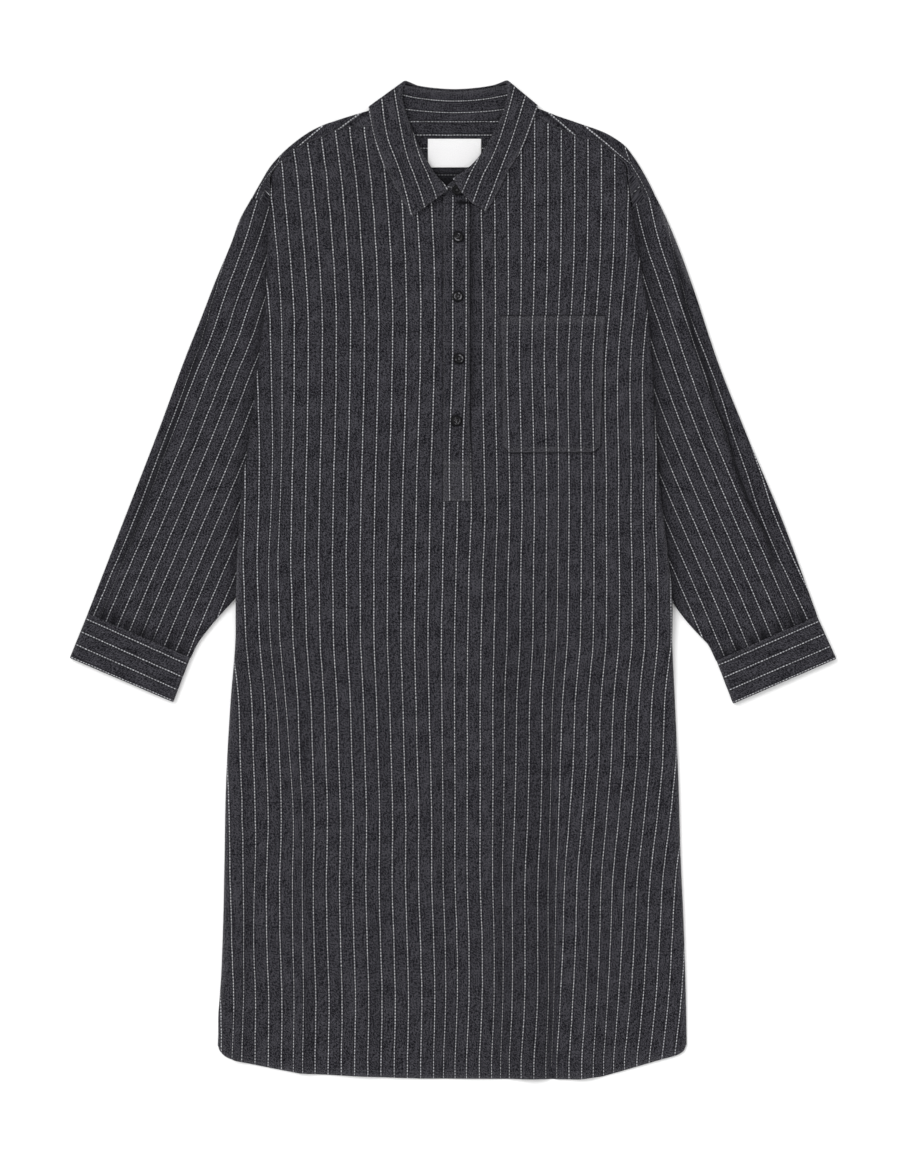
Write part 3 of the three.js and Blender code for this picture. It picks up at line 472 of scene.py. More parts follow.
def back_level(x, y):
    return LOW + BACK_LIFT * tuck(x, y, BACK_TUCK_RUN) * fading(y, *BACK_CLIMB)


# Heights at which the front's lift changes, and where it ends under the yoke
FRONT_LIFT_CHANGE = (710, 770)
SHOULDER_CAP = (1010, 1038)
# The pocket keeps the front calm from here upwards and outwards
CALM_UP = (690, 715)
CALM_OUT = (30, 50)
BROAD_WAVE = {"height": 0.22, "x": 23, "y": 61, "cross_x": 90, "cross_y": 47}
FINE_WAVE = {"height": 0.14, "x": 11.5, "y": 83}


def front_level(x, y):
    lift = lerp(FRONT_LIFT_AT_SIDE, FRONT_LIFT_AT_ARMHOLE, smoothstep(y, *FRONT_LIFT_CHANGE))
    rest = (HIGH - HEM_LEVEL) * fading(y - hem_at(x), 0, HEM_RUN)
    near_pocket = smoothstep(y, *CALM_UP) * smoothstep(x, *CALM_OUT)
    creases = ridges(FRONT_CREASES, x, y) * (1 - near_pocket)
    broad = np.sin(x / BROAD_WAVE["x"] + y / BROAD_WAVE["y"])
    broad = broad * np.sin(y / BROAD_WAVE["cross_y"] - x / BROAD_WAVE["cross_x"])
    fine = np.sin(x / FINE_WAVE["x"] - y / FINE_WAVE["y"])
    waves = BROAD_WAVE["height"] * broad + FINE_WAVE["height"] * fine
    lifted = lift * tuck(x, y, FRONT_TUCK_RUN) * fading(y, *SHOULDER_CAP)
    return HIGH - rest + lifted + ridges(FRONT_FOLDS, x, y) + creases + waves


SIDE_CLIMB = (SIDE_SEAM_TOP + 5, SIDE_SEAM_TOP + 25)


def side_drop(x, y):
    on_back = back_level(x, y) + CLOTH / 2 + SEAM
    foot = lerp(on_back, SLEEVE_TOP + SEAM, smoothstep(y, *SIDE_CLIMB))
    return np.maximum(0, front_level(x, y) - foot) * np.where(y > UNDERARM, fading(y, *SHOULDER_CAP), 1)


# The cloth's own coordinates: across the stripes, in millimetres from one stripe

# Folds on the wearer's right of this line push the stripes the other way
TAKE_UP_SPLIT = 30
FRONT_GRAIN_SHIFT = 0.2


def taken_up(x, y, width, line):
    centre = smooth_along(line, "y", "x", y)
    amount = smooth_along(line, "y", "take_up", y)
    return amount * (smoothstep(x, centre - width, centre + width) - (centre < TAKE_UP_SPLIT))


def front_grain(x, y):
    stripe, left, right = (smooth_along(GRAIN, "y", name, y) for name in ("stripe", "left", "right"))
    slide = along(RIGHT_HALF_SLIDE, "y", "slide", y) * fading(x, SLIT_LEFT, SLIT_RIGHT)
    number = (x - slide - stripe - FRONT_GRAIN_SHIFT) / np.where(x - slide < stripe, left, right)
    folds = sum(taken_up(x, y, fold["width"], fold["line"]) for fold in TAKE_UPS)
    return number * PITCH + folds


# Walls

class Shell:
    """A thin wall of cloth on a grid of middle points, with a rounded rim."""

    def __init__(self, grid, grain, thickness=CLOTH, keep=None, ring=False, shade=0.0, wear_and_highlight=0.0):
        self.grid = np.asarray(grid, float)
        self.rows, self.columns = self.grid.shape[:2]
        self.grain = grain
        # Painted shade goes in the first channel; wear and painted highlight go in the second
        painted_light_and_wear = np.zeros(self.grid.shape[:2] + (2,))
        painted_light_and_wear[..., 0] = np.clip(shade, 0, 1)
        painted_light_and_wear[..., 1] = np.clip(wear_and_highlight, 0, 1)
        self.painted_light_and_wear = round_ring(painted_light_and_wear) if ring else painted_light_and_wear
        self.thickness = thickness
        self.ring = ring
        across = self.columns if ring else self.columns - 1
        i, j = np.meshgrid(np.arange(self.rows - 1), np.arange(across), indexing="ij")
        i, j = i.ravel(), j.ravel()
        if keep is not None:
            kept = keep(i, j)
            i, j = i[kept], j[kept]
        following = (j + 1) % self.columns
        self.cells = np.stack([i * self.columns + j, i * self.columns + following,
                               (i + 1) * self.columns + following, (i + 1) * self.columns + j], axis=1)
        self.cell_places = (i, j)
        flat = self.grid.reshape(-1, 3)
        a, b, c, d = (flat[self.cells[:, k]] for k in range(4))
        faces = np.cross(c - a, d - b)
        normals = np.zeros_like(flat)
        for k in range(4):
            np.add.at(normals, self.cells[:, k], faces)
        size = np.linalg.norm(normals, axis=1, keepdims=True)
        self.normals = (normals / np.maximum(size, 1e-12)).reshape(self.grid.shape)

    def top(self, i, j, proud=0.0):
        """Points on the upper side at fractional rows and columns."""
        i, j = np.clip(i, 0, self.rows - 1.001), np.clip(j, 0, self.columns - 1.001)
        row, col = np.floor(i).astype(int), np.floor(j).astype(int)
        di, dj = (i - row)[:, None], (j - col)[:, None]

        def mixed(field):
            return ((field[row, col] * (1 - dj) + field[row, col + 1] * dj) * (1 - di)
                    + (field[row + 1, col] * (1 - dj) + field[row + 1, col + 1] * dj) * di)

        normal = mixed(self.normals)
        normal /= np.linalg.norm(normal, axis=1, keepdims=True)
        return mixed(self.grid) + normal * (self.thickness / 2 + proud), normal

    def mesh(self, name):
        flat, normals = self.grid.reshape(-1, 3), self.normals.reshape(-1, 3)
        used = np.unique(self.cells)
        number = np.full(len(flat), -1)
        number[used] = np.arange(len(used))
        cells = number[self.cells]
        points, ups = flat[used], normals[used]
        half = self.thickness / 2
        edges = np.concatenate([cells[:, [k, (k + 1) % 4]] for k in range(4)])
        known = set(map(tuple, edges))
        rim = np.array([edge for edge in map(tuple, edges) if edge[::-1] not in known], int).reshape(-1, 2)
        outward = np.zeros_like(points)
        run = points[rim[:, 1]] - points[rim[:, 0]]
        out = np.cross(run, ups[rim[:, 0]] + ups[rim[:, 1]])
        out /= np.maximum(np.linalg.norm(out, axis=1, keepdims=True), 1e-12)
        np.add.at(outward, rim[:, 0], out)
        np.add.at(outward, rim[:, 1], out)
        rim_nodes = np.unique(rim)
        outward[rim_nodes] /= np.maximum(np.linalg.norm(outward[rim_nodes], axis=1, keepdims=True), 1e-9)
        slot = np.full(len(points), -1)
        slot[rim_nodes] = np.arange(len(rim_nodes))
        count = len(points)
        vertices = np.concatenate([points + ups * half, points - ups * half,
                                   points[rim_nodes] + outward[rim_nodes] * half * 0.5])
        vertices[:, 2] = np.maximum(vertices[:, 2], 0)
        upper, lower = cells, cells[:, ::-1] + count
        a, b = rim[:, 0], rim[:, 1]
        middle_a, middle_b = slot[a] + 2 * count, slot[b] + 2 * count
        faces = np.concatenate([upper, lower,
                                np.stack([middle_a, middle_b, b, a], axis=1),
                                np.stack([a + count, b + count, middle_b, middle_a], axis=1)])
        piece = solid_mesh(name, vertices, faces)
        self.paint(piece, used, rim)
        return piece

    def paint(self, piece, used, rim):
        """Two UV maps: the cloth's coordinates in metres, then its painted shade, and its wear with painted
        highlight.
        """
        i, j = self.cell_places
        corner_rows = np.stack([i, i, i + 1, i + 1], axis=1)
        corner_columns = np.stack([j, j + 1, j + 1, j], axis=1)
        for name, field in (("cloth", self.grain / 1000), ("painted_light_and_wear", self.painted_light_and_wear)):
            wide = field.shape[1]
            upper = field.reshape(-1, 2)[corner_rows * wide + np.minimum(corner_columns, wide - 1)]
            by_node = field[:, : self.columns].reshape(-1, 2)[used]
            edge = by_node[np.stack([rim[:, 0], rim[:, 1], rim[:, 1], rim[:, 0]], axis=1)]
            values = np.concatenate([upper, upper[:, ::-1], edge, edge]).reshape(-1, 2)
            layer = piece.data.uv_layers.new(name=name)
            layer.data.foreach_set("uv", values.astype(np.float32).ravel())


def frame_shift():
    low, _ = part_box("label")
    return np.array([low[0] * 1000 - LABEL["left"], low[1] * 1000 - LABEL["foot"], 0.0])


SHIFT = frame_shift()


def solid_mesh(name, vertices, faces):
    """A mesh object in metres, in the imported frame, from points in drafting millimetres."""
    places = (np.asarray(vertices, float) + SHIFT) / 1000
    mesh = bpy.data.meshes.new(name)
    mesh.from_pydata([tuple(p) for p in places.tolist()], [], [tuple(f) for f in np.asarray(faces).tolist()])
    mesh.validate(clean_customdata=False)
    mesh.update()
    mesh.polygons.foreach_set("use_smooth", [True] * len(mesh.polygons))
    piece = bpy.data.objects.new(name, mesh)
    bpy.context.scene.collection.objects.link(piece)
    return piece


# Front panel

# The side edge rolls down to the back over these distances from the outline
ROLL = np.array([0, 0.25, 0.7, 1.4, 2.4, 4.0])


def front_columns(top, edge, count):
    left = edge == "left"
    sign = 1 if left else -1
    outer = top[0] if left else top[-1]
    slit = SLIT_LEFT if left else SLIT_RIGHT
    line = smooth_outline(top)
    reach = ROLL[-1] * sign
    inner = np.linspace(outer["x"] + reach, slit, count + 1)
    columns = [{"offset": roll * sign, "share": 1.0, "x": outer["x"] + roll * sign, "roll": roll}
               for roll in ROLL]
    columns += [{"offset": reach, "share": (x - slit) / (outer["x"] + reach - slit), "x": x, "roll": None}
                for x in inner[1:]]
    for each in columns:
        each["top"] = float(along(line, "x", "y", each["x"]))
        each["edge"] = edge
        each["slit"] = slit
    return columns if left else columns[::-1]


# How far up the rows still follow the hem's curve
HEM_FOLLOW = 200


def above_hem(level, hem):
    return level + hem * fading(level, 0, HEM_FOLLOW)


# Rows of the front: above the hem up to the slit's foot, then shares of the way to the top edge
FRONT_LEVELS = np.concatenate([[0, 0.8, 2.2], np.linspace(5, SLIT_FOOT, 140)])
FRONT_UPPER = np.linspace(0, 1, 86)[1:]
FRONT_LEFT_CELLS = 60
FRONT_RIGHT_CELLS = 56


def each_x(each, y):
    outer = side_at(y, each["edge"]) + each["offset"]
    return lerp(each["slit"], outer, each["share"])


def front():
    columns = (front_columns(FRONT_TOP_LEFT, "left", FRONT_LEFT_CELLS)
               + front_columns(FRONT_TOP_RIGHT, "right", FRONT_RIGHT_CELLS))
    slit = next(j for j, each in enumerate(columns) if each["edge"] == "right") - 1
    grid = []
    for each in columns:
        hem = hem_at(each_x(each, np.array([HEM[0]["y"]])))[0]
        y = np.concatenate([above_hem(FRONT_LEVELS, hem), lerp(SLIT_FOOT, each["top"], FRONT_UPPER)])
        x = each_x(each, y)
        z = front_level(x, y)
        if each["roll"] is not None:
            part = each["roll"] / ROLL[-1]
            z = z - side_drop(x, y) * (1 - math.sqrt(1 - (1 - part) ** 2))
            x = x + (CLOTH / 2) * (1 if each["edge"] == "left" else -1) * (1 - part)
        grid.append(join(x, y, z))
    grid = np.stack(grid, axis=1)
    x, y = grid[..., 0], grid[..., 1]
    last = len(FRONT_LEVELS) - 1
    return Shell(grid, join(front_grain(x, y), y), keep=lambda i, j: (j != slit) | (i < last),
                 shade=front_shade(x, y), wear_and_highlight=front_wear(x, y))


def from_side(x, y):
    """Distance from the nearer side of the body, towards its middle."""
    return np.minimum(x - side_at(y, "left"), side_at(y, "right") - x)


# The sides get painted shade where they hang free above this run, and are worn below it
SIDE_CHANGE = (UNDERARM - 160, UNDERARM - 60)
SIDE_SHADE = table("weight at width", (0.3, 0, 3))
SIDE_WEAR = table("weight at width", (0.5, 1, 2.6))
HEM_WEAR = table("weight at width", (0.4, 1, 2.6))
# Shade beside the placket: broad above the pocket's height, then a thin line down to the box
BESIDE_PLACKET = table("weight at width", (0.5, 3, 3.2))
BESIDE_PLACKET_UP = (755, 800)
PLACKET_LINE = table("weight at width", (0.4, 0, 1))
PLACKET_LINE_UP = (695, 712)
PLACKET_LINE_END = (730, 755)
# Painted shade in the shallow valley right of the middle in the lower front
VALLEY = {"weight": 0.13, "start": (42, 52), "end": (88, 108), "top": (480, 600)}


def front_shade(x, y):
    from_placket = x - PLACKET["right"]
    broad = marks(BESIDE_PLACKET, from_placket) * smoothstep(y, *BESIDE_PLACKET_UP)
    thin = marks(PLACKET_LINE, from_placket) * smoothstep(y, *PLACKET_LINE_UP) * fading(y, *PLACKET_LINE_END)
    valley = VALLEY["weight"] * smoothstep(x, *VALLEY["start"]) * fading(x, *VALLEY["end"])
    beside = marks(SIDE_SHADE, from_side(x, y)) * smoothstep(y, *SIDE_CHANGE)
    return beside + broad + thin + valley * fading(y, *VALLEY["top"]) + ridges(FRONT_SHADES, x, y)


def front_wear(x, y):
    side = marks(SIDE_WEAR, from_side(x, y)) * fading(y, *SIDE_CHANGE)
    return side + marks(HEM_WEAR, y - hem_at(x))


# Back panel

BACK_INSET_AT_SIDE = 0.9
BACK_INSET_AT_ARMHOLE = 0.6
BACK_HEM_SHORTER = 1.5
BACK_GRAIN_SHIFT = 2


def runs(*parts):
    """Even steps from run to run, each given as its end and its number of points."""
    start, steps = parts[0], [np.array([parts[0]])]
    for end, count in parts[1:]:
        steps.append(np.linspace(start, end, count)[1:])
        start = end
    return np.concatenate(steps)


def back_edge(sleeve, y):
    edge = "left" if sleeve["side"] < 0 else "right"
    side = side_at(y, edge) - sleeve["side"] * BACK_INSET_AT_SIDE
    armhole = along(sleeve["armhole"], "y", "x", y) - sleeve["side"] * BACK_INSET_AT_ARMHOLE
    share = np.clip((y - SIDE_SEAM_TOP) / (UNDERARM - SIDE_SEAM_TOP), 0, 1)
    return np.where(y > UNDERARM, armhole, lerp(side, armhole, share))


# Rows and columns of the back, closer together at the underarm and towards its sides
BACK_LEVELS = np.concatenate([np.linspace(0, 680, 80), np.linspace(690, 830, 36),
                              np.linspace(840, YOKE_SEAM_BACK, 18)])
BACK_ACROSS = runs(0, (0.2, 14), (0.8, 26), (1, 14))


def back():
    row = np.maximum(BACK_LEVELS, HEM[0]["y"])
    left, right = back_edge(SLEEVE_RIGHT, row), back_edge(SLEEVE_LEFT, row)
    x = lerp(left[:, None], right[:, None], BACK_ACROSS[None, :])
    y = above_hem(BACK_LEVELS[:, None], hem_at(x) + BACK_HEM_SHORTER)
    return Shell(join(x, y, back_level(x, y)), join(x + BACK_GRAIN_SHIFT, y))


# Yoke

# Stripes on the front flaps of the yoke, one after the other down each shoulder
YOKE_STRIPES_RIGHT = table("x y run_x run_y", (-136.3, 1091.8, 23.7, 17.6), (-175, 1077.8, 19.1, 16),
                           (-204.9, 1052.3, 8, 17.6), (-224.4, 1023.5, 1.5, 14))
YOKE_STRIPES_LEFT = table("x y run_x run_y", (135.1, 1089.2, -22.2, 19.1), (177.3, 1074.1, -24.5, 20),
                          (205.5, 1042.5, -8.4, 24.5), (223.1, 1015.5, -3.6, 22))
# Beside each armhole the stripes turn at a crease, and two of them show again below it
FLAP_RIGHT = {
    "crease": table("y x", (1052.3, -204.9), (1040.8, -213.3), (1023.5, -219.4), (1008.6, -223.1)),
    "stripes": table("x y run_x run_y", (-213.3, 1040.8, 2.9, -2.9), (-219.4, 1023.5, 7.7, -7.2)),
}
FLAP_LEFT = {
    "crease": table("y x", (1060, 197), (1042.4, 205.3), (1027.9, 212.5), (1013.8, 217.8)),
    "stripes": table("x y run_x run_y", (205.3, 1042.4, -6.8, -6.8), (212.5, 1027.9, -8.3, -8.8)),
}
YOKE_ROWS = {"left": 110, "neck": 46, "right": 120}
YOKE_FIRST_STRIPE = 2
YOKE_FIRST_ROW = 1087.2
YOKE_BACK_CELLS = 22
YOKE_FAR_CELLS = 8
YOKE_FOLD_CELLS = 8
YOKE_TOP_CELLS = 18


YOKE_NEAR_NECK = (103, 122)


def yoke_low(x, y):
    near_neck = fading(np.abs(x), *YOKE_NEAR_NECK)
    return LOW + YOKE_RISE["lift"] * near_neck * smoothstep(y, YOKE_RISE["from"], YOKE_RISE["to"])


YOKE_NEAR = 40
YOKE_NEAR_SHARE = 0.4


def yoke_heights(start, end):
    """Rows from the back seam to the fold, closer together near the neck."""
    near = min(YOKE_NEAR, (end - start) * YOKE_NEAR_SHARE)
    return runs(start, (end - near, YOKE_FAR_CELLS + 2), (end, YOKE_BACK_CELLS - YOKE_FAR_CELLS))


def aside_of(line, x, y, side):
    """Distance from a stripe's line, outwards."""
    offset = (x - line["x"]) * line["run_y"] - (y - line["y"]) * line["run_x"]
    return offset * side / math.hypot(line["run_x"], line["run_y"])


TURNED_REACH = 1.5


def turned_number(x, y, side):
    """Stripe numbers inside the crease beside an armhole, or None elsewhere."""
    flap = FLAP_RIGHT if side < 0 else FLAP_LEFT
    if y > flap["crease"][0]["y"] or abs(x) > abs(float(along(flap["crease"], "y", "x", y))):
        return None
    below = [-aside_of(line, x, y, side) for line in flap["stripes"]]
    share = below[0] / max(below[0] - below[1], 1)
    return abs(1 - min(share, TURNED_REACH)) - 1 if share > 0 else None


# The cloth's way along the stripes of a shoulder
FAN_ALONG = {"x": 0.8, "y": 0.6}


def fan_grain(place):
    """Stripe coordinates between lines that spread like a fan."""
    x, y = place[0], place[1]
    side = -1 if x < 0 else 1
    aside = [aside_of(line, x, y, side) for line in (YOKE_STRIPES_RIGHT if x < 0 else YOKE_STRIPES_LEFT)]
    number = YOKE_FIRST_STRIPE - min(aside[0], 0) / (2 * PITCH) - max(aside[-1], 0) / PITCH
    for before, after in zip(aside, aside[1:]):
        number -= min(max(before / max(before - after, 1), 0), 1)
    turned = turned_number(x, y, side)
    number = number if turned is None else turned
    return np.array([number * PITCH + YOKE_FIRST_ROW, FAN_ALONG["y"] * y - side * FAN_ALONG["x"] * x])


FLAP_REACH = 0.6


def shoulder_row(row):
    fold, sewn_front, sewn_back = (np.array([row[f"{part}_x"], row[f"{part}_y"]])
                                   for part in ("fold", "front", "back"))
    low = float(yoke_low(*fold))
    radius = (HIGH - low) / 2
    to_back, to_front = unit(sewn_back - fold), unit(sewn_front - fold)
    reach = min(radius + CLOTH / 2, np.linalg.norm(sewn_front - fold) * FLAP_REACH)
    start = fold + to_back * (radius + CLOTH / 2)
    points, grain = [], []
    span = max(abs(sewn_back[1] - start[1]), 1)
    for height in yoke_heights(0, span):
        place = lerp(sewn_back, start, height / span)
        points.append([*place, float(yoke_low(*place))])
        grain.append(place[::-1])
    for angle in np.linspace(-90, 90, YOKE_FOLD_CELLS + 1)[1:-1]:
        turn = math.radians(angle)
        inward = unit(lerp(to_back, to_front, (math.sin(turn) + 1) / 2))
        place = fold + inward * (reach - (reach - CLOTH / 2) * math.cos(turn))
        points.append([*place, low + radius + radius * math.sin(turn)])
        grain.append(lerp(start[::-1], fan_grain(place), smoothstep(angle, -90, 0)))
    for share in np.linspace(0, 1, YOKE_TOP_CELLS + 1):
        place = lerp(fold + to_front * reach, sewn_front, share)
        points.append([*place, HIGH])
        grain.append(fan_grain(place))
    return points, grain


NECK_SEAM_GAP = 0.4


def neck_row(row):
    heights = yoke_heights(YOKE_SEAM_BACK + NECK_SEAM_GAP, row["y"])
    heights = np.pad(heights, (0, YOKE_FOLD_CELLS + YOKE_TOP_CELLS), "edge")
    points = [[row["x"], height, float(yoke_low(row["x"], height))] for height in heights]
    return points, [[height, row["x"]] for height in heights]


def finer(rows, count):
    names = list(rows[0])
    dense = catmull([[row[name] for name in names] for row in rows], np.linspace(0, 1, count))
    return table(" ".join(names), *dense)


# What shows inside the neck is shaded, more so low down; the flaps are worn along their front seam
INSIDE_NECK = 85
INSIDE_DEPTH = 2
INSIDE_SHADE = {"all": 0.12, "low": 0.75, "change": (1034, 1060)}
YOKE_SEAM_WEAR = table("weight at width", (0.25, -2, 1))
YOKE_FLAP_DEPTH = 0.6


def yoke():
    left, neck, right = (finer(rows, YOKE_ROWS[part]) for rows, part in
                         ((YOKE_LEFT, "left"), (YOKE_NECK, "neck"), (YOKE_RIGHT, "right")))
    built = [shoulder_row(row) for row in left] + [neck_row(row) for row in neck]
    built += [shoulder_row(row) for row in right]
    grid, grain = (np.array(part) for part in zip(*built))
    grain[..., 0] -= YOKE_FIRST_ROW
    start, end = len(left) - 1, len(left) + len(neck)
    inside = (np.abs(grid[..., 0]) < INSIDE_NECK) & (grid[..., 2] < HIGH - INSIDE_DEPTH)
    low = INSIDE_SHADE["low"] * fading(grid[..., 1], *INSIDE_SHADE["change"])
    from_seam = np.arange(grid.shape[1])[None] - grid.shape[1]
    wear_and_highlight = marks(YOKE_SEAM_WEAR, from_seam) * (grid[..., 2] > HIGH - YOKE_FLAP_DEPTH)
    return Shell(grid, grain, keep=lambda i, j: (i < start) | (i >= end) | (j < YOKE_BACK_CELLS),
                 shade=inside * (INSIDE_SHADE["all"] + low), wear_and_highlight=wear_and_highlight)


# Sleeves and cuffs

TUBE_SIDE_CELLS = 6


def tube_section(width, top_cells, bottom_cells):
    """One ring of a flattened tube: places across it, and the rise from -1 below to 1 on top."""
    reach = ROUND + CLOTH / 2
    turn = np.radians(np.linspace(90, -90, TUBE_SIDE_CELLS + 1)[1:-1])
    across = [np.linspace(reach, width - reach, top_cells + 1), width - reach + ROUND * np.cos(turn),
              np.linspace(width - reach, reach, bottom_cells + 1), reach - ROUND * np.cos(turn)]
    rise = [np.ones(top_cells + 1), np.sin(turn), -np.ones(bottom_cells + 1), -np.sin(turn)]
    return np.concatenate(across), np.concatenate(rise)


SLEEVE_TOP_CELLS = 74
SLEEVE_BOTTOM_CELLS = 26
# Rows along a sleeve: shares of its length, closer together near the cuff
SLEEVE_ROWS = runs(0, (0.82, 90), (1, 41))
SLEEVE_LENGTH = 520
# How far the cuff's cloth reaches up over the end of the sleeve
CUFF_OVER = 5
PUCKERS = [
    {"at": 0.14, "width": 3.2, "depth": 1.3, "run": 60},
    {"at": 0.24, "width": 3.6, "depth": 1.5, "run": 75},
    {"at": 0.37, "width": 3, "depth": 0.9, "run": 40},
    {"at": 0.52, "width": 4, "depth": 1.4, "run": 66},
    {"at": 0.63, "width": 3.2, "depth": 1.2, "run": 48},
    {"at": 0.78, "width": 4.2, "depth": 1.5, "run": 85},
    {"at": 0.9, "width": 3, "depth": 0.9, "run": 38},
]


# The slant of the long crease, where it begins and ends, and the cloth lapped beside it
CREASE_SLANT = 0.92
CREASE_BEGIN = (555, 645)
CREASE_FADE = 50
LIP_RISE = (-0.8, 1.2)
LIP_RUN = 13
PUCKER_DRIFT = 0.05
SLEEVE_WAVE = {"height": 0.25, "across": 9, "slant": 70, "along": 44}
SLEEVE_CALM_EDGE = (2, 12)


def crease_side(sleeve, x, y):
    """Distance from the long crease towards the body."""
    return (smooth_along(sleeve["crease"], "y", "x", y) - x) * sleeve["side"] * CREASE_SLANT


def crease_share(sleeve, y):
    top = sleeve["crease"][0]["y"]
    return smoothstep(y, *CREASE_BEGIN) * fading(y, top - CREASE_FADE, top)


def sleeve_relief(sleeve, x, y, across, width, along_share):
    near = crease_side(sleeve, x, y)
    groove = -sleeve["crease_depth"] * soft_line(near, sleeve["crease_width"])
    lip = sleeve["lip"] * smoothstep(near, *LIP_RISE) * soft_line(np.maximum(near, 0), LIP_RUN)
    relief = crease_share(sleeve, y) * (groove + lip)
    for pucker in PUCKERS:
        fade = smoothstep(along_share, 1 - pucker["run"] / SLEEVE_LENGTH, 1)
        drift = (1 - along_share) * SLEEVE_LENGTH * PUCKER_DRIFT
        gap = across - pucker["at"] * width + drift
        relief = relief - pucker["depth"] * fade * soft_line(gap, pucker["width"])
    wave = np.sin(across / SLEEVE_WAVE["across"] + y / SLEEVE_WAVE["slant"])
    relief = relief + SLEEVE_WAVE["height"] * wave * np.sin(y / SLEEVE_WAVE["along"])
    return relief * smoothstep(np.minimum(across, width - across), *SLEEVE_CALM_EDGE)


CREASE_GRAIN_INSIDE = 0.4


def sleeve_grain(sleeve, x, y):
    base = smooth_along(sleeve["base"], "y", "x", y)
    number = (base - x) * sleeve["side"] / sleeve["pitch"] + 1
    taken = smooth_along(sleeve["crease"], "y", "take_up", y)
    width = sleeve["crease_width"]
    return number * PITCH - taken * fading(crease_side(sleeve, x, y), -width, width * CREASE_GRAIN_INSIDE)


def sleeve_plan(sleeve, across, width, along_share):
    share = across / width
    outer = by_length(sleeve["outer"], along_share)
    inner = by_length(sleeve["inner"], along_share)
    armhole = by_length(sleeve["armhole"], share)
    corner_outer, corner_inner = by_length(sleeve["outer"], [0])[0], by_length(sleeve["inner"], [0])[0]
    share, fade = share[..., None], (1 - along_share)[..., None]
    return lerp(outer, inner, share) + fade * (armhole - lerp(corner_outer, corner_inner, share))


def corner(rows, k):
    return np.array([rows[k]["x"], rows[k]["y"]])


def shortened(rows, length):
    """The same curve with its last point drawn back."""
    end = corner(rows, -1)
    return rows[:-1] + table("x y", end + unit(corner(rows, -2) - end) * length)


# Shade of a sleeve: beside the body, beside its crease, in the gathers above the cuff, in the folds
BESIDE_BODY_RUN = 11
BESIDE_BODY_TOP = (1000, 1035)
CREASE_LINE = {"at": -0.6, "width": 2.4}
CREASE_GLOOM = table("weight at width", (0.2, -8, 9))
GATHERS = {"from": (0.955, 0.995), "all": 0.35, "deep": 0.3}
FOLD_SHADE = {"weight": 0.16, "deepest": 2.5}


def sleeve_shade(sleeve, x, y, relief, along_share):
    edge = "left" if sleeve["side"] < 0 else "right"
    past_body = np.maximum(np.abs(x) - np.abs(side_at(y, edge)), 0)
    beside = sleeve["body_dark"] * soft_line(past_body, BESIDE_BODY_RUN) * fading(y, *BESIDE_BODY_TOP)
    near = crease_side(sleeve, x, y)
    line = sleeve["crease_dark"] * soft_line(near - CREASE_LINE["at"], CREASE_LINE["width"])
    lapped = crease_share(sleeve, y) * (line + marks(CREASE_GLOOM, near))
    deep = np.clip(-relief, 0, FOLD_SHADE["deepest"])
    gathered = GATHERS["all"] + GATHERS["deep"] * np.clip(deep, 0, 1)
    gathered = gathered * smoothstep(along_share, *GATHERS["from"])
    return beside + lapped + gathered + FOLD_SHADE["weight"] * deep


# The outer fold of a sleeve is lighter, as wear and a painted highlight; and the heights between which it
# shows
RIM = {"at": 1.8, "width": 1.6, "foot": (905, 925), "top": (990, 1010)}
SLEEVE_ALONG = 1.08


def sleeve_shell(sleeve):
    sleeve = {**sleeve, **{edge: shortened(sleeve[edge], CUFF_OVER + SEAM) for edge in ("outer", "inner")}}
    outer, inner = by_length(sleeve["outer"], SLEEVE_ROWS), by_length(sleeve["inner"], SLEEVE_ROWS)
    rows = []
    for along_share, width in zip(SLEEVE_ROWS, np.linalg.norm(outer - inner, axis=1)):
        across, rise = tube_section(width, SLEEVE_TOP_CELLS, SLEEVE_BOTTOM_CELLS)
        plan = sleeve_plan(sleeve, across, width, np.full(len(across), along_share))
        x, y = plan[:, 0], plan[:, 1]
        on_top = rise == 1
        relief = sleeve_relief(sleeve, x, y, across, width, along_share)
        z = LOW + ROUND + ROUND * rise + np.where(on_top, relief, 0)
        grain = sleeve_grain(sleeve, x, y)
        outer_fold = np.full(len(across), x[np.argmin(across)])
        grain = np.where(rise < 0, 2 * sleeve_grain(sleeve, outer_fold, y) - grain, grain)
        shade = np.where(on_top, sleeve_shade(sleeve, x, y, relief, along_share), 0)
        # Lighter along the outer fold: wear and a painted highlight
        worn_and_highlit = smoothstep(y, *RIM["foot"]) * fading(y, *RIM["top"])
        worn_and_highlit = sleeve["rim_wear_and_highlight"] * soft_line(across - RIM["at"], RIM["width"]) * worn_and_highlit
        rows.append((join(x, y, z), join(grain, y * SLEEVE_ALONG), shade, worn_and_highlit))
    grid, grain, shade, wear_and_highlight = (np.stack(part) for part in zip(*rows))
    return Shell(grid, round_ring(grain), ring=True, shade=shade, wear_and_highlight=wear_and_highlight)


def round_ring(field):
    """Repeats the first column, for a ring whose coordinates run on round it."""
    return np.concatenate([field, field[:, :1]], axis=1)


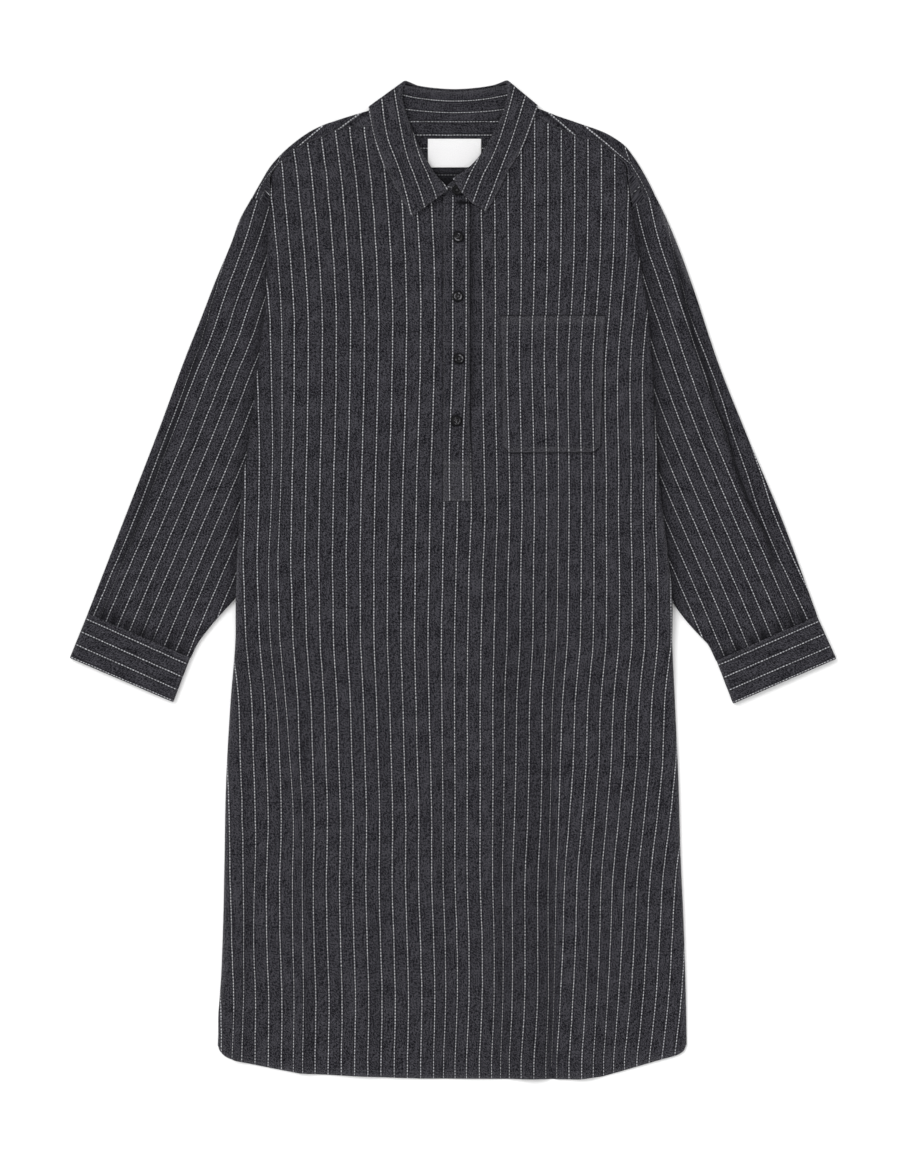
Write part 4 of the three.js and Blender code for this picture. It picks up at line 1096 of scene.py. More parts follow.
# Rows of a cuff: close together where it starts on the sleeve, and at its foot
CUFF_START = [0, 0.02, 0.05]
CUFF_MIDDLE = np.linspace(0.02, 0.93, 22)
CUFF_END = [0.97, 0.99, 1]
CUFF_STRIPE = 15.9
CUFF_SEAM_INSET = 1.2
CUFF_FOOT_INSET = 1.1
CUFF_TOP_CELLS = 44
CUFF_BOTTOM_CELLS = 18
CUFF_DIP_AT_SEAM = table("weight at width", (0.35, 4.5, 1.6))
CUFF_DIP_AT_FOOT = table("weight at width", (0.3, 5, 1.6))
CUFF_WEAR_AT_SEAM = table("weight at width", (0.15, 1, 1.8))
CUFF_WEAR_AT_FOOT = table("weight at width", (0.2, 0.3, 0.8))
CUFF_WEAR_AT_ENDS = table("weight at width", (0.3, 1, 2))
CUFF_FINE_RIPPLE = {"height": 0.18, "run": 6.5}
CUFF_BROAD_RIPPLE = {"height": 0.12, "run": 17, "drift": 3}
CUFF_CALM_ENDS = (3, 12)


def cuff_shell(sleeve):
    end = sleeve["cuff"]
    top_outer, top_inner = corner(sleeve["outer"], -1), corner(sleeve["inner"], -1)
    foot_outer, foot_inner = (np.array([end[f"{side}_x"], end[f"{side}_y"]]) for side in ("outer", "inner"))
    depth = np.linalg.norm(foot_outer - top_outer)
    rows = []
    for share in np.concatenate([np.array(CUFF_START) - CUFF_OVER / depth, CUFF_MIDDLE, CUFF_END]):
        a, b = lerp(top_outer, foot_outer, share), lerp(top_inner, foot_inner, share)
        width = np.linalg.norm(b - a)
        across, rise = tube_section(width, CUFF_TOP_CELLS, CUFF_BOTTOM_CELLS)
        inset = (CUFF_CLOTH - CLOTH) / 2 / width
        place = a + (b - a) * lerp(inset, 1 - inset, across / width)[:, None]
        from_seam, from_foot = share * depth + CUFF_OVER, (1 - share) * depth
        from_end = np.minimum(across, width - across)
        ripple = CUFF_FINE_RIPPLE["height"] * np.sin(across / CUFF_FINE_RIPPLE["run"]) * (1 - share)
        ripple = ripple + CUFF_BROAD_RIPPLE["height"] * np.sin(
            across / CUFF_BROAD_RIPPLE["run"] + share * CUFF_BROAD_RIPPLE["drift"])
        dip = marks(CUFF_DIP_AT_SEAM, from_seam) + marks(CUFF_DIP_AT_FOOT, from_foot)
        relief = ripple * smoothstep(from_end, *CUFF_CALM_ENDS) - dip
        z = CUFF_CLOTH / 2 + ROUND + ROUND * rise + np.where(rise == 1, relief, 0)
        tilt = sleeve["cuff_tilt"] * across / width
        from_first = share * depth - CUFF_SEAM_INSET - tilt
        last_gap = depth - CUFF_SEAM_INSET - CUFF_FOOT_INSET - tilt - 2 * CUFF_STRIPE
        number = np.where(from_first < 2 * CUFF_STRIPE, from_first / CUFF_STRIPE,
                          2 + (from_first - 2 * CUFF_STRIPE) / last_gap)
        worn_and_highlit = marks(CUFF_WEAR_AT_SEAM, from_seam) + marks(CUFF_WEAR_AT_FOOT, from_foot)
        rows.append((np.column_stack([place, z]), join(number * PITCH, across),
                     worn_and_highlit + marks(CUFF_WEAR_AT_ENDS, from_end)))
    grid, grain, wear_and_highlight = (np.stack(part) for part in zip(*rows))
    return Shell(grid, round_ring(grain), thickness=CUFF_CLOTH, ring=True, wear_and_highlight=wear_and_highlight)


# Collar

LEAF_ROLL_CELLS = 8
LEAF_FLAT_CELLS = 20
COLLAR_ROWS = 220
# Where five stripes of each leaf run as it lies, from the outer edge inwards
LEAF_STRIPES_RIGHT = table(
    "y outer next middle inner last",
    (1160, -103, -87.5, -72.5, -57, -41), (1130, -100, -84.3, -68.3, -54, -38),
    (1100, -96.3, -80.7, -63.2, -50.5, -35), (1080, -91.4, -76.5, -59.3, -46.1, -31),
    (1060, -84.5, -68.8, -54.3, -39.6, -25.5), (1040, -77.5, -61.6, -46.8, -30.7, -19.5),
    (1020, -72, -56.3, -39.6, -23.2, -7.2), (1000, -67, -51.4, -33.3, -18.5, -3),
    (980, -62, -46, -27, -14, 1),
)
LEAF_STRIPES_LEFT = table(
    "y outer next middle inner last",
    (1160, 108, 89.5, 72.5, 57, 41), (1130, 98, 80.3, 65.2, 51, 36), (1100, 87.1, 71.2, 57, 43, 28),
    (1080, 79.8, 64.6, 50.5, 36, 21), (1060, 71.5, 57.2, 42.3, 27.1, 12),
    (1040, 64, 49.5, 31.9, 16.6, 1), (1020, 57, 41.8, 24.5, 8, -8), (1000, 50, 34.1, 17.2, 0, -16),
    (980, 43, 26, 10, -8, -24),
)
LEAF_BOW = 0.6
LEAF_END_BOW = 5
# Three stripes of the stand's inside at the back of the neck, as heights over x
STAND_STRIPES = table("middle rise half", (1102.3, 0.4, 50), (1112.7, 4, 57), (1126.1, 7.4, 62))
STAND_PITCH = 13.4


# A leaf's rim is worn, and so is its roll, which lies this far along it; its ends are worn too
LEAF_ROLL_RUN = 4.5
LEAF_RIM_WEAR = table("weight at width", (0.38, 1.2, 1.8))
LEAF_ROLL_WEAR = table("weight at width", (0.2, LEAF_ROLL_RUN, 3))
LEAF_ENDS_WEAR = table("weight at width", (0.35, 0, 1.2))
LEAF_FLAT = np.concatenate([np.linspace(0, 0.9, LEAF_FLAT_CELLS - 3)[1:], [0.935, 0.965, 0.988, 1]])
LEAF_BOW_FROM = 0.95
LEAF_BOW_TURN = 0.1
# Past this turn the stripes of a leaf run along the roll, as they do behind the neck
LEAF_LYING = np.radians([80, 180])


def leaf_grain(points, hand):
    """Distance across the stripes of a leaf, from its middle one outwards."""
    rows = LEAF_STRIPES_RIGHT if hand < 0 else LEAF_STRIPES_LEFT
    places = [smooth_along(rows, "y", name, points[:, 1]) * hand
              for name in ("last", "inner", "middle", "next", "outer")]
    across = []
    for k, x in enumerate(points[:, 0] * hand):
        known = [place[k] for place in places]
        beyond = min(x - known[0], 0) + max(x - known[-1], 0)
        across.append(np.interp(x, known, range(-2, 3)) * PITCH + beyond)
    return np.array(across)


def station_curve(stations, part, t):
    return catmull([[row[f"{part}_{axis}"] for axis in "xyz"] for row in stations], t)


LEAF_OVER_BUTTON = {"gap": 0.1, "from": 0.6, "to": 9}


def over_button(points):
    """The leaf's end lies over the collar button."""
    far = np.hypot(points[:, 0] - COLLAR_BUTTON["x"], points[:, 1] - COLLAR_BUTTON["y"])
    above = COLLAR_BUTTON["z"] + BUTTON["thickness"] + CLOTH / 2 + LEAF_OVER_BUTTON["gap"]
    near = fading(far, BUTTON["radius"] + LEAF_OVER_BUTTON["from"], BUTTON["radius"] + LEAF_OVER_BUTTON["to"])
    return lerp(points[:, 2], np.maximum(points[:, 2], above), near)


def turns_at(stations, t):
    """How far the collar has rolled over at each place along it, in radians."""
    turns = [row.get("turn", 0) for row in stations]
    return np.radians(np.interp(t * (len(stations) - 1), np.arange(len(stations)), turns))


def collar_leaf():
    t = np.linspace(0, 1, COLLAR_ROWS)
    roll, edge = station_curve(COLLAR, "roll", t), station_curve(COLLAR, "edge", t)
    edge[:, 2] = np.maximum(edge[:, 2], LOW)
    rows = []
    for place, start, end, turn in zip(t, roll, edge, turns_at(COLLAR, t)):
        hand = -1.0 if place < 1 / 2 else 1.0
        radius = lerp(ROLL_BELOW, ROLL_ABOVE, (math.cos(turn) + 1) / 2)
        fall = unit(np.array([end[0] - start[0], end[1] - start[1], 0.0]))
        level = np.array([fall[1], -fall[0], 0.0])
        outward = level * (-1 if level[1] < 0 else 1)
        lay = np.array([0, 0, math.cos(turn)]) + outward * math.sin(turn)
        ring = [start + lay * (radius + radius * math.sin(angle)) - fall * radius * math.cos(angle)
                for angle in np.radians(np.linspace(-90, 90, LEAF_ROLL_CELLS + 1))]
        crest = start + lay * 2 * radius
        bow = LEAF_END_BOW * float(smoothstep(place, LEAF_BOW_FROM, 1)) * level
        bow[2] = LEAF_BOW if turn < LEAF_BOW_TURN else 0
        sheet = [lerp(crest, end, share) + bow * math.sin(math.pi * share) for share in LEAF_FLAT]
        points = np.array(ring + sheet)
        if hand > 0:
            points[:, 2] = over_button(points)
        run = lengths(points)
        lying = float(fading(turn, *LEAF_LYING))
        across = lerp(run - LEAF_ROLL_RUN, leaf_grain(points, hand), lying)
        grain = join(across, points[:, 1] * lying + points[:, 0] * (1 - lying))
        rows.append((points, grain, marks(LEAF_RIM_WEAR, run[-1] - run) + marks(LEAF_ROLL_WEAR, run)))
    grid, grain, wear_and_highlight = (np.stack(part) for part in zip(*rows))
    row = np.arange(COLLAR_ROWS)[:, None]
    return Shell(grid, grain, wear_and_highlight=wear_and_highlight + marks(LEAF_ENDS_WEAR, np.minimum(row, COLLAR_ROWS - 1 - row)))


# The stand ends a little short of the leaf's roll. Its stripes change from this height up.
STAND_GAP = 0.5
STAND_SHARES = np.concatenate([[0, 0.03], np.linspace(0.08, 0.92, 10), [0.97, 1]])
STAND_FIRST_STRIPE = 5
STAND_BACK = (1084, 1100)
STAND_WEAR = table("weight at width", (0.3, 1, 2.5))
STAND_SHADE = table("weight at width", (0.25, 0, 3))


def collar_stand():
    stations = STAND_TOP_END + COLLAR + STAND_UNDER_END
    t = np.linspace(0, 1, COLLAR_ROWS)
    neck, roll = station_curve(stations, "neck", t), station_curve(stations, "roll", t)
    gap = SEAM + STAND_GAP + STAND_TURN_GAP * np.sin(turns_at(stations, t))
    reach = np.linalg.norm(roll - neck, axis=1)
    share = (1 - gap / reach)[:, None] * STAND_SHARES[None]
    grid = neck[:, None] + (roll - neck)[:, None] * share[..., None]
    across = reach[:, None] * share
    x, y = grid[..., 0], grid[..., 1]
    low, middle, high = (row["middle"] + row["rise"] * (x / row["half"]) ** 2 for row in STAND_STRIPES)
    number = np.where(y < middle, (y - low) / (middle - low), 1 + (y - middle) / (high - middle))
    number = np.where(y > high, 2 + (y - high) / STAND_PITCH, number)
    stripes = lerp(across + STAND_FIRST_STRIPE, number * PITCH, smoothstep(y, *STAND_BACK))
    wear_and_highlight = marks(STAND_WEAR, across[:, -1:] - across)
    return Shell(grid, join(stripes, lengths(neck)[:, None]), shade=marks(STAND_SHADE, across), wear_and_highlight=wear_and_highlight)


# Pieces that lie on the front

def on_front(x, y, layers=1.0):
    return join(x, y, front_level(x, y) + layers * (CLOTH + SEAM))


CLOSE_STEPS = (0.9, 2.4)


def near_ends(start, end, count):
    """Even steps with two closer ones at each end, for a tight rim."""
    near, next_one = CLOSE_STEPS
    inner = np.linspace(start + next_one * 2, end - next_one * 2, count - 4)
    return np.concatenate([[start, start + near, start + next_one], inner, [end - next_one, end - near, end]])


def sheet_places(ys, xs):
    """The y and x of a grid of places."""
    return np.meshgrid(ys, xs, indexing="ij")


PLACKET_GRAIN = table("y x", (1018, -2.5), (970, -2.7), (890, -2.6), (840, -2.7), (776, -4.6),
                      (726, -6.5), (667, -6.2))


PLACKET_PITCH = 15.5


def placket_grain(x, y):
    return (x - smooth_along(PLACKET_GRAIN, "y", "x", y)) * PITCH / PLACKET_PITCH


PLACKET_ROWS = 240
PLACKET_COLUMNS = 30
# Dips along its seams and under its buttons, and the slow wave of its edges
PLACKET_SEAM_DIP = table("weight at width", (0.22, 3, 1.1))
PLACKET_BOX_DIP = table("weight at width", (0.2, 0, 1.5))
BUTTON_DIP = table("weight at width", (0.18, 0, 7))
EDGE_WAVE = {"height": 0.1, "run": 19, "reach": 3}
# Wear and shade along the edge, the right edge, the foot and the box
PLACKET_EDGE_SHADE = table("weight at width", (0.3, 0, 0.6), (0.2, 3.2, 0.9))
PLACKET_RIGHT_SHADE = table("weight at width", (0.3, 0, 0.8))
PLACKET_BOX_SHADE = table("weight at width", (0.35, 0, 1.2))
PLACKET_FOOT_WEAR = table("weight at width", (0.4, 1.2, 1.6))
PLACKET_BOX_WEAR = table("weight at width", (0.3, 3, 2.2))
PLACKET_EDGE_WEAR = {"above": 0.12, "box": 0.25, "at": 1.4, "width": 1.6}
BOX_WEAR = 0.2
BOX_FADE = (0, 12)
# Where the end of the stand throws a painted shadow, a dark line across the placket
STAND_SHADOW = {"weight": 1.3, "y": 1009, "width": 2.6, "from": (-3, 7)}
BUTTON_SHADE = {"weight": 0.9, "from": 0.2, "to": 2.2}


def placket_top():
    y, x = sheet_places(near_ends(SLIT_FOOT, NECK_END, PLACKET_ROWS),
                        near_ends(PLACKET["left"], PLACKET["right"], PLACKET_COLUMNS))
    grid = on_front(x, y)
    edge, box = np.minimum(x - PLACKET["left"], PLACKET["right"] - x), y - PLACKET["box"]
    wave = EDGE_WAVE["height"] * np.sin(y / EDGE_WAVE["run"]) * np.exp(-edge / EDGE_WAVE["reach"])
    grid[..., 2] -= marks(PLACKET_SEAM_DIP, edge) + wave + marks(PLACKET_BOX_DIP, box)
    in_box = fading(box, *BOX_FADE)
    along_edge = PLACKET_EDGE_WEAR["above"] + PLACKET_EDGE_WEAR["box"] * in_box
    worn_and_highlit = along_edge * soft_line(edge - PLACKET_EDGE_WEAR["at"], PLACKET_EDGE_WEAR["width"])
    worn_and_highlit += marks(PLACKET_FOOT_WEAR, y - SLIT_FOOT) + marks(PLACKET_BOX_WEAR, box) + BOX_WEAR * in_box
    shade = marks(PLACKET_RIGHT_SHADE, PLACKET["right"] - x) + marks(PLACKET_EDGE_SHADE, edge)
    shade += marks(PLACKET_BOX_SHADE, box)
    under_stand = soft_line(y - STAND_SHADOW["y"], STAND_SHADOW["width"])
    shade += STAND_SHADOW["weight"] * under_stand * smoothstep(x, *STAND_SHADOW["from"])
    for place in BUTTON_PLACES:
        far = np.hypot(x - place["x"], y - place["y"])
        grid[..., 2] -= marks(BUTTON_DIP, far)
        from_rim = far - BUTTON["radius"]
        shade += BUTTON_SHADE["weight"] * fading(from_rim, BUTTON_SHADE["from"], BUTTON_SHADE["to"])
    return Shell(grid, join(placket_grain(x, y), y), shade=shade, wear_and_highlight=worn_and_highlit)


UNDER_ROWS = 60
UNDER_COLUMNS = 8
UNDER_END_GAP = 0.4
UNDER_GRAIN_SHIFT = 4


def placket_under():
    y, x = sheet_places(np.linspace(UNDER_PLACKET["foot"], NECK_END - UNDER_END_GAP, UNDER_ROWS),
                        np.linspace(UNDER_PLACKET["left"], UNDER_PLACKET["right"], UNDER_COLUMNS))
    return Shell(on_front(x, y, 0), join(placket_grain(x, y) + UNDER_GRAIN_SHIFT, y))


POCKET_UP = np.concatenate([[0, 0.006, 0.015, 0.03], np.linspace(0.05, 0.97, 44), [0.985, 0.994, 1]])
POCKET_ACROSS = np.concatenate([[0, 0.007, 0.018], np.linspace(0.045, 0.955, 34), [0.982, 0.993, 1]])
CORNER_SLANT = 0.8
POCKET_SEAM_DIP = table("weight at width", (0.25, 3, 1.2))
POCKET_HEM_DIP = table("weight at width", (0.22, 0, 1.4))
POCKET_GAPE = {"height": 0.35, "from": 0.6}
POCKET_WAVE = {"height": 0.12, "y": 13, "x": 17}
# Its stripes leave those of the front towards its top
POCKET_STEP = {"shift": 0.9, "from": 0.2}
POCKET_EDGE_WEAR = table("weight at width", (0.34, 3.4, 2.8))
POCKET_TOP_WEAR = table("weight at width", (0.34, 5, 5))
POCKET_TOP_RUN = 3
POCKET_EDGE_SHADE = table("weight at width", (0.3, 0, 0.8), (0.15, 7, 1.4))
POCKET_TOP_SHADE = table("weight at width", (0.9, 0, 0.9))
POCKET_FOOT_SHADE = table("weight at width", (0.45, 0, 0.9))


def pocket():
    high, wide = sheet_places(POCKET_UP, POCKET_ACROSS)
    from_edge = np.minimum(wide, 1 - wide) * (POCKET["top_right"] - POCKET["top_left"])
    cut = np.maximum(0, 1 - from_edge / POCKET["corner"]) * POCKET["corner"] * CORNER_SLANT
    y = lerp(POCKET["foot"] + cut, POCKET["top"], high)
    part = (y - POCKET["foot"]) / (POCKET["top"] - POCKET["foot"])
    left, right = (lerp(POCKET[f"foot_{side}"], POCKET[f"top_{side}"], part) for side in ("left", "right"))
    x = lerp(left, right, wide)
    foot, from_top = y - POCKET["foot"] - cut, POCKET["top"] - y
    edge = np.minimum(from_edge, foot)
    gape = POCKET_GAPE["height"] * np.sin(np.pi * wide) * smoothstep(part, POCKET_GAPE["from"], 1)
    wave = POCKET_WAVE["height"] * np.sin(y / POCKET_WAVE["y"] + x / POCKET_WAVE["x"])
    dips = marks(POCKET_SEAM_DIP, edge) + marks(POCKET_HEM_DIP, from_top - POCKET["hem"])
    grid = on_front(x, y)
    grid[..., 2] += gape + wave - dips
    worn_and_highlit = marks(POCKET_EDGE_WEAR, edge) * smoothstep(from_top, 0, POCKET_TOP_RUN)
    shade = marks(POCKET_EDGE_SHADE, edge) + marks(POCKET_TOP_SHADE, from_top)
    stripes = front_grain(x, y) + POCKET_STEP["shift"] * smoothstep(part, POCKET_STEP["from"], 1)
    return Shell(grid, join(stripes, y), shade=shade + marks(POCKET_FOOT_SHADE, foot),
                 wear_and_highlight=worn_and_highlit + marks(POCKET_TOP_WEAR, from_top))


LABEL_BOW = 0.12
LABEL_ROWS = 16
LABEL_COLUMNS = 24


def label():
    y, x = sheet_places(near_ends(LABEL["foot"], LABEL["top"], LABEL_ROWS),
                        near_ends(LABEL["left"], LABEL["right"], LABEL_COLUMNS))
    across, up = (x - LABEL["left"]) / LABEL["wide"], (y - LABEL["foot"]) / LABEL["high"]
    level = CLOTH + SEAM + LABEL["thickness"] / 2
    z = level + LABEL_BOW * np.sin(across * math.pi) * np.sin(up * math.pi)
    return Shell(join(x, y, z), join(x, y), thickness=LABEL["thickness"])


# Buttons: turned, dished, with four holes and a crossed thread

BUTTON_SIDES = 40
PEG_SIDES = 20
DRILL_RUN = (0.6, 4)


def button_profile():
    """Radius and height of each turned ring, from the underside round the rim to the dish."""
    radius, height = BUTTON["radius"], BUTTON["thickness"]
    shoulder, floor = radius - BUTTON["rim"], height - BUTTON["dish"]
    return [(radius - 0.9, 0), (radius - 0.35, 0.3), (radius - 0.06, height * 0.4),
            (radius, height * 0.6), (radius - 0.12, height * 0.85), (radius - 0.4, height - 0.05),
            (radius - 0.7, height), (shoulder, height - 0.12),
            (shoulder - 0.5, height - BUTTON["dish"] * 0.75), (shoulder - 0.9, floor), (2.6, floor + 0.05)]


def turned(name, x, y, profile, sides):
    """A closed solid of revolution about an upright line."""
    turns = [2 * math.pi * k / sides for k in range(sides)]
    vertices = [(x + r * math.cos(turn), y + r * math.sin(turn), z) for r, z in profile for turn in turns]
    faces = [(ring * sides + k, ring * sides + (k + 1) % sides, (ring + 1) * sides + (k + 1) % sides,
              (ring + 1) * sides + k) for ring in range(len(profile) - 1) for k in range(sides)]
    piece = solid_mesh(name, vertices, np.array(faces))
    mesh = bmesh.new()
    mesh.from_mesh(piece.data)
    mesh.verts.ensure_lookup_table()
    last = (len(profile) - 1) * sides
    mesh.faces.new([mesh.verts[k] for k in range(sides)][::-1])
    mesh.faces.new([mesh.verts[last + k] for k in range(sides)])
    mesh.to_mesh(piece.data)
    mesh.free()
    return piece


def drill(piece, x, y, z):
    """Four holes through the dished middle."""
    low, high = (z + end for end in DRILL_RUN)
    cutters = [turned("peg", x + side_x * BUTTON["hole_out"], y + side_y * BUTTON["hole_out"],
                      [(BUTTON["hole"], low), (BUTTON["hole"], high)], PEG_SIDES)
               for side_x in (-1, 1) for side_y in (-1, 1)]
    for cutter in cutters:
        cut = piece.modifiers.new("hole", "BOOLEAN")
        cut.operation = "DIFFERENCE"
        cut.solver = "EXACT"
        cut.object = cutter
    graph = bpy.context.evaluated_depsgraph_get()
    done = bpy.data.meshes.new_from_object(piece.evaluated_get(graph))
    piece.modifiers.clear()
    piece.data = done
    for cutter in cutters:
        bpy.data.objects.remove(cutter, do_unlink=True)


# Sewing: each stitch is a small rounded bar that dips into the cloth at both ends

# One stitch: its pitch, length, width and height, and where along the seam the first one starts
STITCH = {"pitch": 2.7, "length": 1.9, "width": 0.42, "height": 0.22, "first": 0.8}
CROSS_STITCH = {"pitch": 9, "length": 3.8, "width": 0.8, "height": 0.45, "first": 0}
# Four sections of a bar, as shares of its length and of its height, and how far its ends sink in
BAR_SECTIONS = np.array([0, 0.28, 0.72, 1])
BAR_FULL = (0.35, 1, 1, 0.35)
BAR_SINK = 0.1
BAR_TOP = 0.7
BAR_END_WIDTH = 0.6


def stitch_bars(path, normals, sizes):
    run = lengths(path)
    starts = np.arange(sizes["first"], max(run[-1] - sizes["length"], sizes["first"] + 0.01), sizes["pitch"])
    vertices, faces = [], []
    for start in starts:
        stations = start + sizes["length"] * BAR_SECTIONS
        centre, up = (join(*(np.interp(stations, run, line[:, k]) for k in range(3)))
                      for line in (path, normals))
        side = unit(np.cross(unit(centre[-1] - centre[0]), up[1]))
        first = len(vertices)
        for place, normal, full in zip(centre, up, BAR_FULL):
            lift = normal * (sizes["height"] * full)
            half = side * (sizes["width"] / 2) * lerp(BAR_END_WIDTH, 1, full)
            base = place - normal * BAR_SINK
            top = place + lift
            vertices += [base - half, top - half * BAR_TOP, top + half * BAR_TOP, base + half]
        for k in range(3):
            a = first + 4 * k
            faces += [(a + c, a + (c + 1) % 4, a + 4 + (c + 1) % 4, a + 4 + c) for c in range(4)]
        faces += [(first, first + 3, first + 2, first + 1), (first + 12, first + 13, first + 14, first + 15)]
    return vertices, faces


SEAM_POINTS = 500


class Sewing:
    """Lines of stitches that become one piece."""

    def __init__(self, shell=None):
        self.shell = shell
        self.vertices, self.faces = [], []

    def line(self, path, normals, sizes):
        vertices, faces = stitch_bars(path, normals, sizes)
        first = len(self.vertices)
        self.vertices += vertices
        self.faces += [tuple(first + k for k in face) for face in faces]

    def rows(self, rows, first, last):
        """Stitches along rows of the shell, from one column to another."""
        way = np.linspace(first, last, SEAM_POINTS)
        for row in rows:
            self.line(*self.shell.top(np.full(SEAM_POINTS, row, float), way), STITCH)

    def columns(self, columns, first, last):
        way = np.linspace(first, last, SEAM_POINTS)
        for index in columns:
            self.line(*self.shell.top(way, np.full(SEAM_POINTS, index, float)), STITCH)

    def piece(self, name):
        return solid_mesh(name, np.array(self.vertices), np.array(self.faces))


def index_at(values, at):
    """The fractional index at which rising values reach a number."""
    return np.interp(at, values, np.arange(len(values)))


# Distances of the seams from the edges they follow, in millimetres or in rows and columns
PLACKET_SEAM = 2
BOX_SEAMS = (-1, 1.5)
POCKET_SEAM = {"side": 1.75, "foot": 1.6, "second": 2}
CUFF_SEAM = 1.8
CUFF_MEASURED_COLUMN = 20
LEAF_SEAM = 3.4
LEAF_END_SEAM = 1.2
ARMHOLE_SEAM = 0.5
HEM_SEAM = 7
YOKE_SEAM = {"column": 1.8, "end": 1.2, "start": 0.2}


def placket_sewing(sewing):
    shell = sewing.shell
    y, x = shell.grid[:, 0, 1], shell.grid[0, :, 0]
    left, right = index_at(x, PLACKET["left"] + PLACKET_SEAM), index_at(x, PLACKET["right"] - PLACKET_SEAM)
    sewing.columns((left, right), index_at(y, SLIT_FOOT + PLACKET_SEAM), shell.rows - 1)
    across = [SLIT_FOOT + PLACKET_SEAM] + [PLACKET["box"] + gap for gap in BOX_SEAMS]
    sewing.rows(index_at(y, across), left, right)


def pocket_sewing(sewing):
    shell = sewing.shell
    side, foot, second = POCKET_SEAM["side"], POCKET_SEAM["foot"], POCKET_SEAM["second"]
    far, top = shell.columns - 1 - side, shell.rows - 1
    sewing.columns((side, far), top, foot)
    sewing.rows((foot,), side, far)
    hem = index_at(shell.grid[:, shell.columns // 2, 1], POCKET["top"] - POCKET["hem"])
    sewing.rows((hem,), side, far)
    sewing.columns((side + second, far - second), top, hem)


def cuff_sewing(sewing):
    shell = sewing.shell
    column_places = shell.grid[:, CUFF_MEASURED_COLUMN]
    foot = np.linalg.norm(column_places - column_places[-1], axis=1)[::-1]
    places = shell.rows - 1 - index_at(foot, [CUFF_SEAM, foot[-1] - CUFF_SEAM])
    sewing.rows(places, 1, CUFF_TOP_CELLS - 1)


def collar_sewing(sewing):
    outer, last = sewing.shell.columns - LEAF_SEAM, sewing.shell.rows - 1 - LEAF_END_SEAM
    sewing.columns((outer,), LEAF_END_SEAM, last)
    sewing.rows((LEAF_END_SEAM, last), LEAF_ROLL_CELLS, outer)


def sleeve_sewing(sewing):
    sewing.rows((ARMHOLE_SEAM,), 1, SLEEVE_TOP_CELLS - 1)


def front_sewing(sewing):
    sewing.rows((index_at(FRONT_LEVELS, HEM_SEAM),), len(ROLL) - 1, sewing.shell.columns - len(ROLL))


def yoke_sewing(sewing):
    neck = YOKE_ROWS["left"] + YOKE_ROWS["neck"]
    column_index = sewing.shell.columns - YOKE_SEAM["column"]
    sewing.columns((column_index,), 1, YOKE_ROWS["left"] - YOKE_SEAM["end"])
    sewing.columns((column_index,), neck + YOKE_SEAM["start"], sewing.shell.rows - 2)


# Materials

class Nodes:
    """Short calls for a material's node tree."""

    def __init__(self, name, **surface):
        self.material = bpy.data.materials.new(name)
        self.material.use_nodes = True
        self.tree = self.material.node_tree
        self.shader = self.tree.nodes["Principled BSDF"]
        for socket, value in surface.items():
            self.shader.inputs[socket.replace("_", " ")].default_value = value

    def put(self, socket, value):
        if isinstance(value, bpy.types.NodeSocket):
            self.tree.links.new(value, socket)
        elif value is not None:
            socket.default_value = value

    def colour(self, value):
        self.put(self.shader.inputs["Base Color"], value)

    def new(self, kind, values, **settings):
        """A node with its inputs filled by name or number; returns its outputs."""
        node = self.tree.nodes.new(f"ShaderNode{kind}")
        for name, value in settings.items():
            setattr(node, name, value)
        for socket, value in values.items():
            self.put(node.inputs[socket], value)
        return node.outputs

    def math(self, operation, *values):
        return self.new("Math", dict(enumerate(values)), operation=operation)[0]

    def times(self, a, b):
        return self.math("MULTIPLY", a, b)

    def plus(self, a, b):
        return self.math("ADD", a, b)

    def minus(self, a, b):
        return self.math("SUBTRACT", a, b)

    def summed(self, start, *weighted):
        """A value with other values added, each times its weight."""
        for value, weight in weighted:
            start = self.math("MULTIPLY_ADD", value, weight, start)
        return start

    def step(self, value, low, high, to_low=0.0, to_high=1.0):
        return self.new("MapRange", {"Value": value, "From Min": low, "From Max": high, "To Min": to_low,
                                     "To Max": to_high}, interpolation_type="SMOOTHSTEP")[0]

    def band(self, value, low, high):
        """1 between two soft edges, each given as its start and end."""
        return self.times(self.step(value, *low), self.step(value, *high, 1.0, 0.0))

    def noise(self, vector, scale, detail=2.0, roughness=0.55):
        return self.new("TexNoise", {"Vector": vector, "Scale": scale, "Detail": detail,
                                     "Roughness": roughness})[0]

    def streaks(self, a, b, fine_a, fine_b, detail=1.0, roughness=0.55, layer=0.0):
        """Noise over two coordinates, with its own fineness along each."""
        place = self.new("CombineXYZ", {0: self.times(a, fine_a), 1: self.times(b, fine_b), 2: layer})
        return self.noise(place[0], 1.0, detail, roughness)

    def waves(self, value, length):
        return self.math("SINE", self.times(value, TURN / length))

    def mix(self, factor, a, b):
        return self.new("Mix", {0: factor, 6: a, 7: b}, data_type="RGBA")[2]

    def position(self):
        return self.new("NewGeometry", {})["Position"]

    def painted(self, name, scale=1.0):
        split = self.new("SeparateXYZ", {0: self.new("UVMap", {}, uv_map=name)[0]})
        return [self.times(split[k], scale) for k in (0, 1)]

    def bump(self, height, distance, strength=1.0):
        raised = self.new("Bump", {"Height": height, "Distance": distance, "Strength": strength})
        self.put(self.shader.inputs["Normal"], raised[0])


TURN = 2 * math.pi
CHARCOAL_DARK = (0.0035, 0.0034, 0.0050, 1)
CHARCOAL_LIGHT = (0.056, 0.0545, 0.064, 1)
STRIPE_WHITE = (0.58, 0.585, 0.61, 1)
FLANK = (0.006, 0.0059, 0.0072, 1)
# Colours of painted shade, and of wear with painted highlight
SHADOW = (0.004, 0.004, 0.005, 1)
WORN_AND_HIGHLIT = (0.105, 0.103, 0.112, 1)
